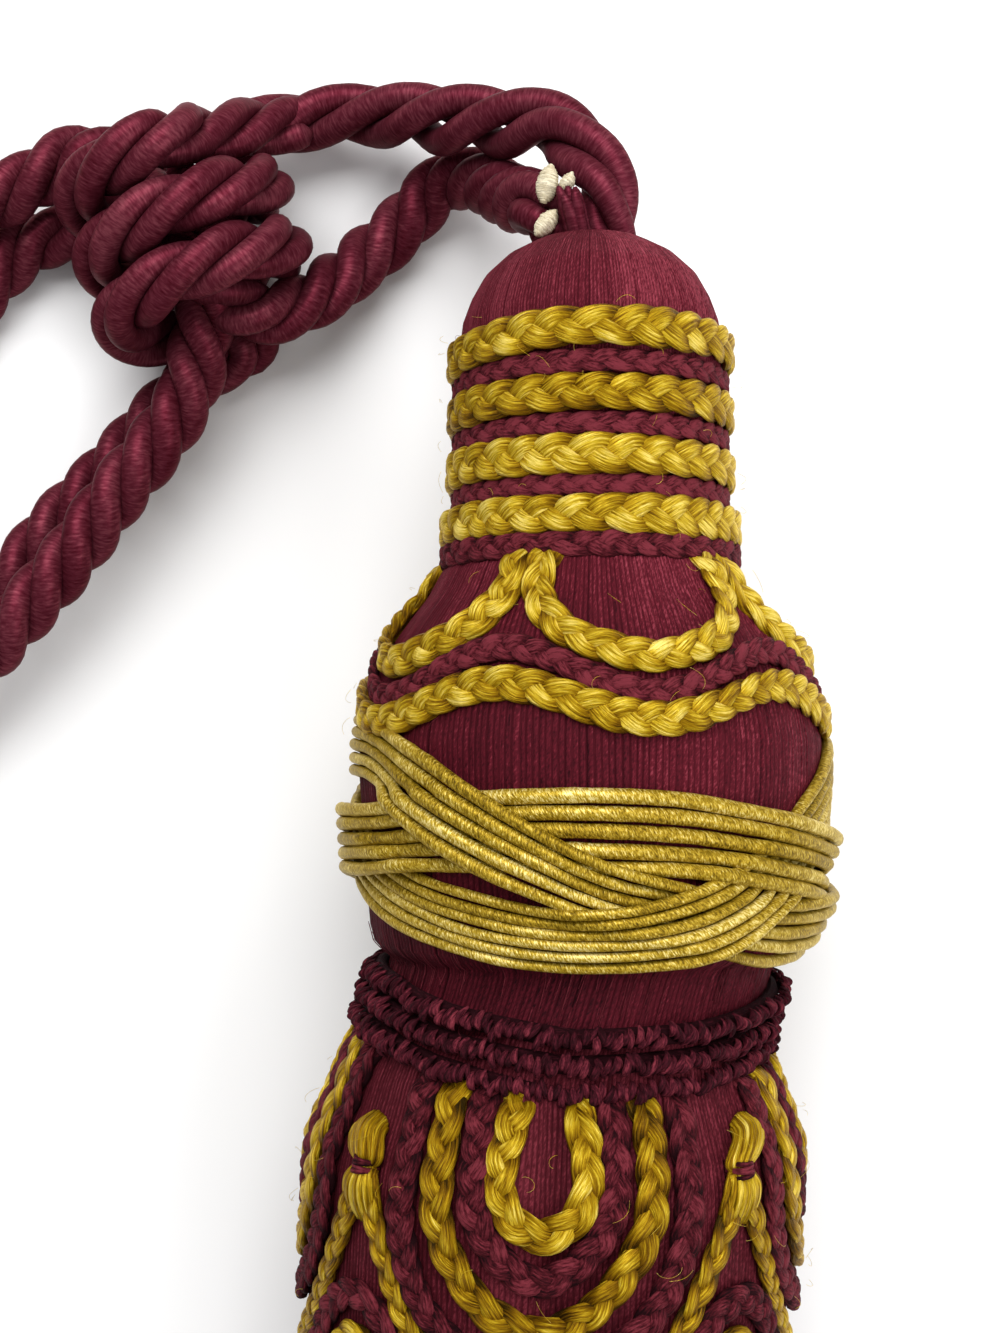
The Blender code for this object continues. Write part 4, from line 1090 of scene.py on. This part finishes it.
def build_ropes():
    """The two legs, the knot and the two ears."""
    rope("rope_leg_upper", catmull_rom(LEG_UPPER_LEAD + ROPE_LEG_UPPER), twist=LOOSE_LAY,
         drawn_in=LEG_DRAWN_IN, opened=LEG_OPENED)
    rope("rope_leg_lower", catmull_rom(LEG_LOWER_LEAD + ROPE_LEG_LOWER + LEG_LOWER_TAIL),
         drawn_in=LEG_DRAWN_IN)
    rope("knot_coil", knot_line(), radius=KNOT_RADIUS, twist=KNOT_LAY)
    rope("ear_upper", catmull_rom(EAR_UPPER_LEAD + EAR_UPPER + EAR_UPPER_TAIL))
    rope("ear_lower", catmull_rom(EAR_LOWER_LEAD + EAR_LOWER + EAR_LOWER_TAIL))


# --- small ends on the dome ---
def build_stub():
    """The rope's whipped end: a short bundle of yarn with a ragged, spreading tip."""
    yarns = Yarns()
    rise = STUB_TO - STUB_FROM
    side = unit(np.cross(unit(rise), UP))
    up = np.cross(side, unit(rise))
    share = np.linspace(-0.15, 1.0, 11)[:, None]
    taper = np.sqrt(np.clip(1.0 - np.linspace(0.0, 0.98, 11) ** 4, 0.05, 1.0))
    size = 0.55 * STUB_RADIUS * taper
    for j in range(STUB_YARNS):
        turn = 2.0 * np.pi * j / (STUB_YARNS - 1)
        ring = 0.0 if j == STUB_YARNS - 1 else 0.5 * STUB_RADIUS
        offset = side * math.cos(turn) * ring + up * math.sin(turn) * ring
        reach = RNG.uniform(0.85, 1.1)
        curl = RNG.normal(0.0, STUB_CURL * STUB_RADIUS, 3) * share ** 2
        line = STUB_FROM + rise * share * reach + offset * (1.0 + STUB_FLARE * share ** 2) + curl
        yarns.tube(line, side, up, size, size, **own_look("stub"))
    yarns.build("rope_stub_yarn", ROPE_YARN, "core", "rope_stub")


def cut_face(yarns, centre, upwards, tall, wide):
    """The cotton core where a strand is cut across: short yarns stacked into an oval."""
    along = unit(np.array([*upwards, 0.0]))
    across = np.array([along[1], -along[0], 0.0])
    u = np.linspace(-1.0, 1.0, 7)
    size = COTTON_YARN * arched(0.9 * u)
    for place in np.linspace(-0.94, 0.94, int(tall / COTTON_PITCH)):
        reach = u * (wide * arched(place))
        line = np.array(centre) + along * tall * place + np.outer(reach, across)
        line[:, 2] += 1.1 * np.cos(0.5 * np.pi * u) * math.sqrt(1.0 - 0.8 * place ** 2) - 0.5
        line[:, :2] += RNG.normal(0.0, 0.04, 2)
        yarns.tube(line, along, UP, size, COTTON_HALF_HEIGHT, **own_look("cotton"))


def build_cotton_ends():
    for name, faces in COTTON_ENDS.items():
        yarns = Yarns()
        for face in faces:
            cut_face(yarns, *face)
        yarns.build(name + "_cotton", COTTON, "cotton", name)


# --- stray hairs ---
def build_hairs():
    """Fine ends that stand off the gold plaits, the ball's threads and the neck."""
    gold, burgundy = Yarns(), Yarns()
    for t, spread, number in HAIR_ZONES:
        for _ in range(number):
            hair(gold, t + RNG.uniform(-spread, spread), RNG.uniform(-180.0, 180.0), 3.2)
    for _ in range(BALL_HAIRS):
        hair(burgundy, RNG.uniform(4.0, 128.0), RNG.uniform(-180.0, 180.0), 0.4)
    for _ in range(NECK_HAIRS):
        neck_hair(burgundy)
    gold.build("gold_hairs", GOLD_SILK, "gold")
    burgundy.build("burgundy_hairs", BURGUNDY_WOOL, "burgundy")


def hair(yarns, t, angle, lift):
    """One hair that leaves the surface in a shallow curl."""
    u = np.linspace(0.0, 1.0, 9)
    length = RNG.uniform(1.5, 4.5)
    bend = RNG.uniform(0.0, 2.0 * np.pi) + RNG.normal(0.0, 1.6) * u
    along = np.cumsum(np.cos(bend)) / len(u) * length
    sideways = np.cumsum(np.sin(bend)) / len(u) * length
    line = on_tassel(t + along, angle + degrees_round(sideways, HAIRY_RADIUS),
                     lift + RNG.uniform(0.2, 1.6) * np.sin(np.pi * 0.8 * u))
    line[:, 2] = np.maximum(line[:, 2], 0.2)
    side, up = carried_frames(line)
    yarns.tube(line, side, up, HAIR_RADIUS, HAIR_RADIUS, sides=3, tone=1.2)


def neck_hair(yarns):
    """A fibre that lies down the neck, over the threads."""
    t = RNG.uniform(113.0, 117.0) + np.linspace(0.0, RNG.uniform(5.0, 11.0), 8)
    angle = RNG.uniform(-180.0, 180.0) + degrees_round(RNG.normal(0.0, 0.5)) * np.linspace(0, 1, 8)
    line, outward = surface_line(t, angle, 0.45)
    yarns.tube(line, crosswise(line, outward), outward, NECK_HAIR_RADIUS, NECK_HAIR_RADIUS,
               sides=3, tone=1.0)


# --- stage ---
def link_new(name, data):
    obj = bpy.data.objects.new(name, data)
    bpy.context.scene.collection.objects.link(obj)
    return obj


def build_floor():
    mesh = bpy.data.meshes.new("floor")
    mesh.from_pydata([(x * FLOOR_REACH, y * FLOOR_REACH, 0.0)
                      for x, y in ((-1, -1), (1, -1), (1, 1), (-1, 1))], [], [(0, 1, 2, 3)])
    paint = Nodes("floor_paint", Roughness=0.9, Base_Color=(FLOOR_GREY,) * 3 + (1.0,))
    mesh.materials.append(paint.material)
    link_new("floor", mesh)


def build_lights():
    world = bpy.data.worlds.new("studio")
    world.use_nodes = True
    background = world.node_tree.nodes["Background"].inputs
    background["Color"].default_value = (1.0, 1.0, 1.0, 1.0)
    background["Strength"].default_value = WORLD_LIGHT
    bpy.context.scene.world = world
    for name, place, power, size in LAMPS:
        data = bpy.data.lights.new(name, "AREA")
        data.energy = power
        data.size = size
        lamp = link_new(name, data)
        at = np.array(place) * MM
        lamp.location = at
        ray = Vector(LAMP_TARGET) - Vector(at)
        lamp.rotation_euler = ray.to_track_quat("-Z", "Y").to_euler()


def build_camera():
    data = bpy.data.cameras.new("camera")
    data.sensor_fit = "HORIZONTAL"
    data.sensor_width = SENSOR_WIDTH
    data.lens = SENSOR_WIDTH * CAMERA_FOCAL
    data.clip_start = 0.01
    camera = link_new("camera", data)
    camera.location = (np.array(CAMERA_AT) - ORIGIN) * MM
    bpy.context.scene.camera = camera


bpy.context.scene.view_settings.view_transform = "Standard"
for build in (build_ropes, build_floor, build_lights, build_camera, build_head, build_bands,
              build_swags, build_waves, build_gimp, build_ruffles, build_skirt, build_motifs,
              build_stub, build_cotton_ends, build_hairs):
    build()
bpy.context.view_layer.update()
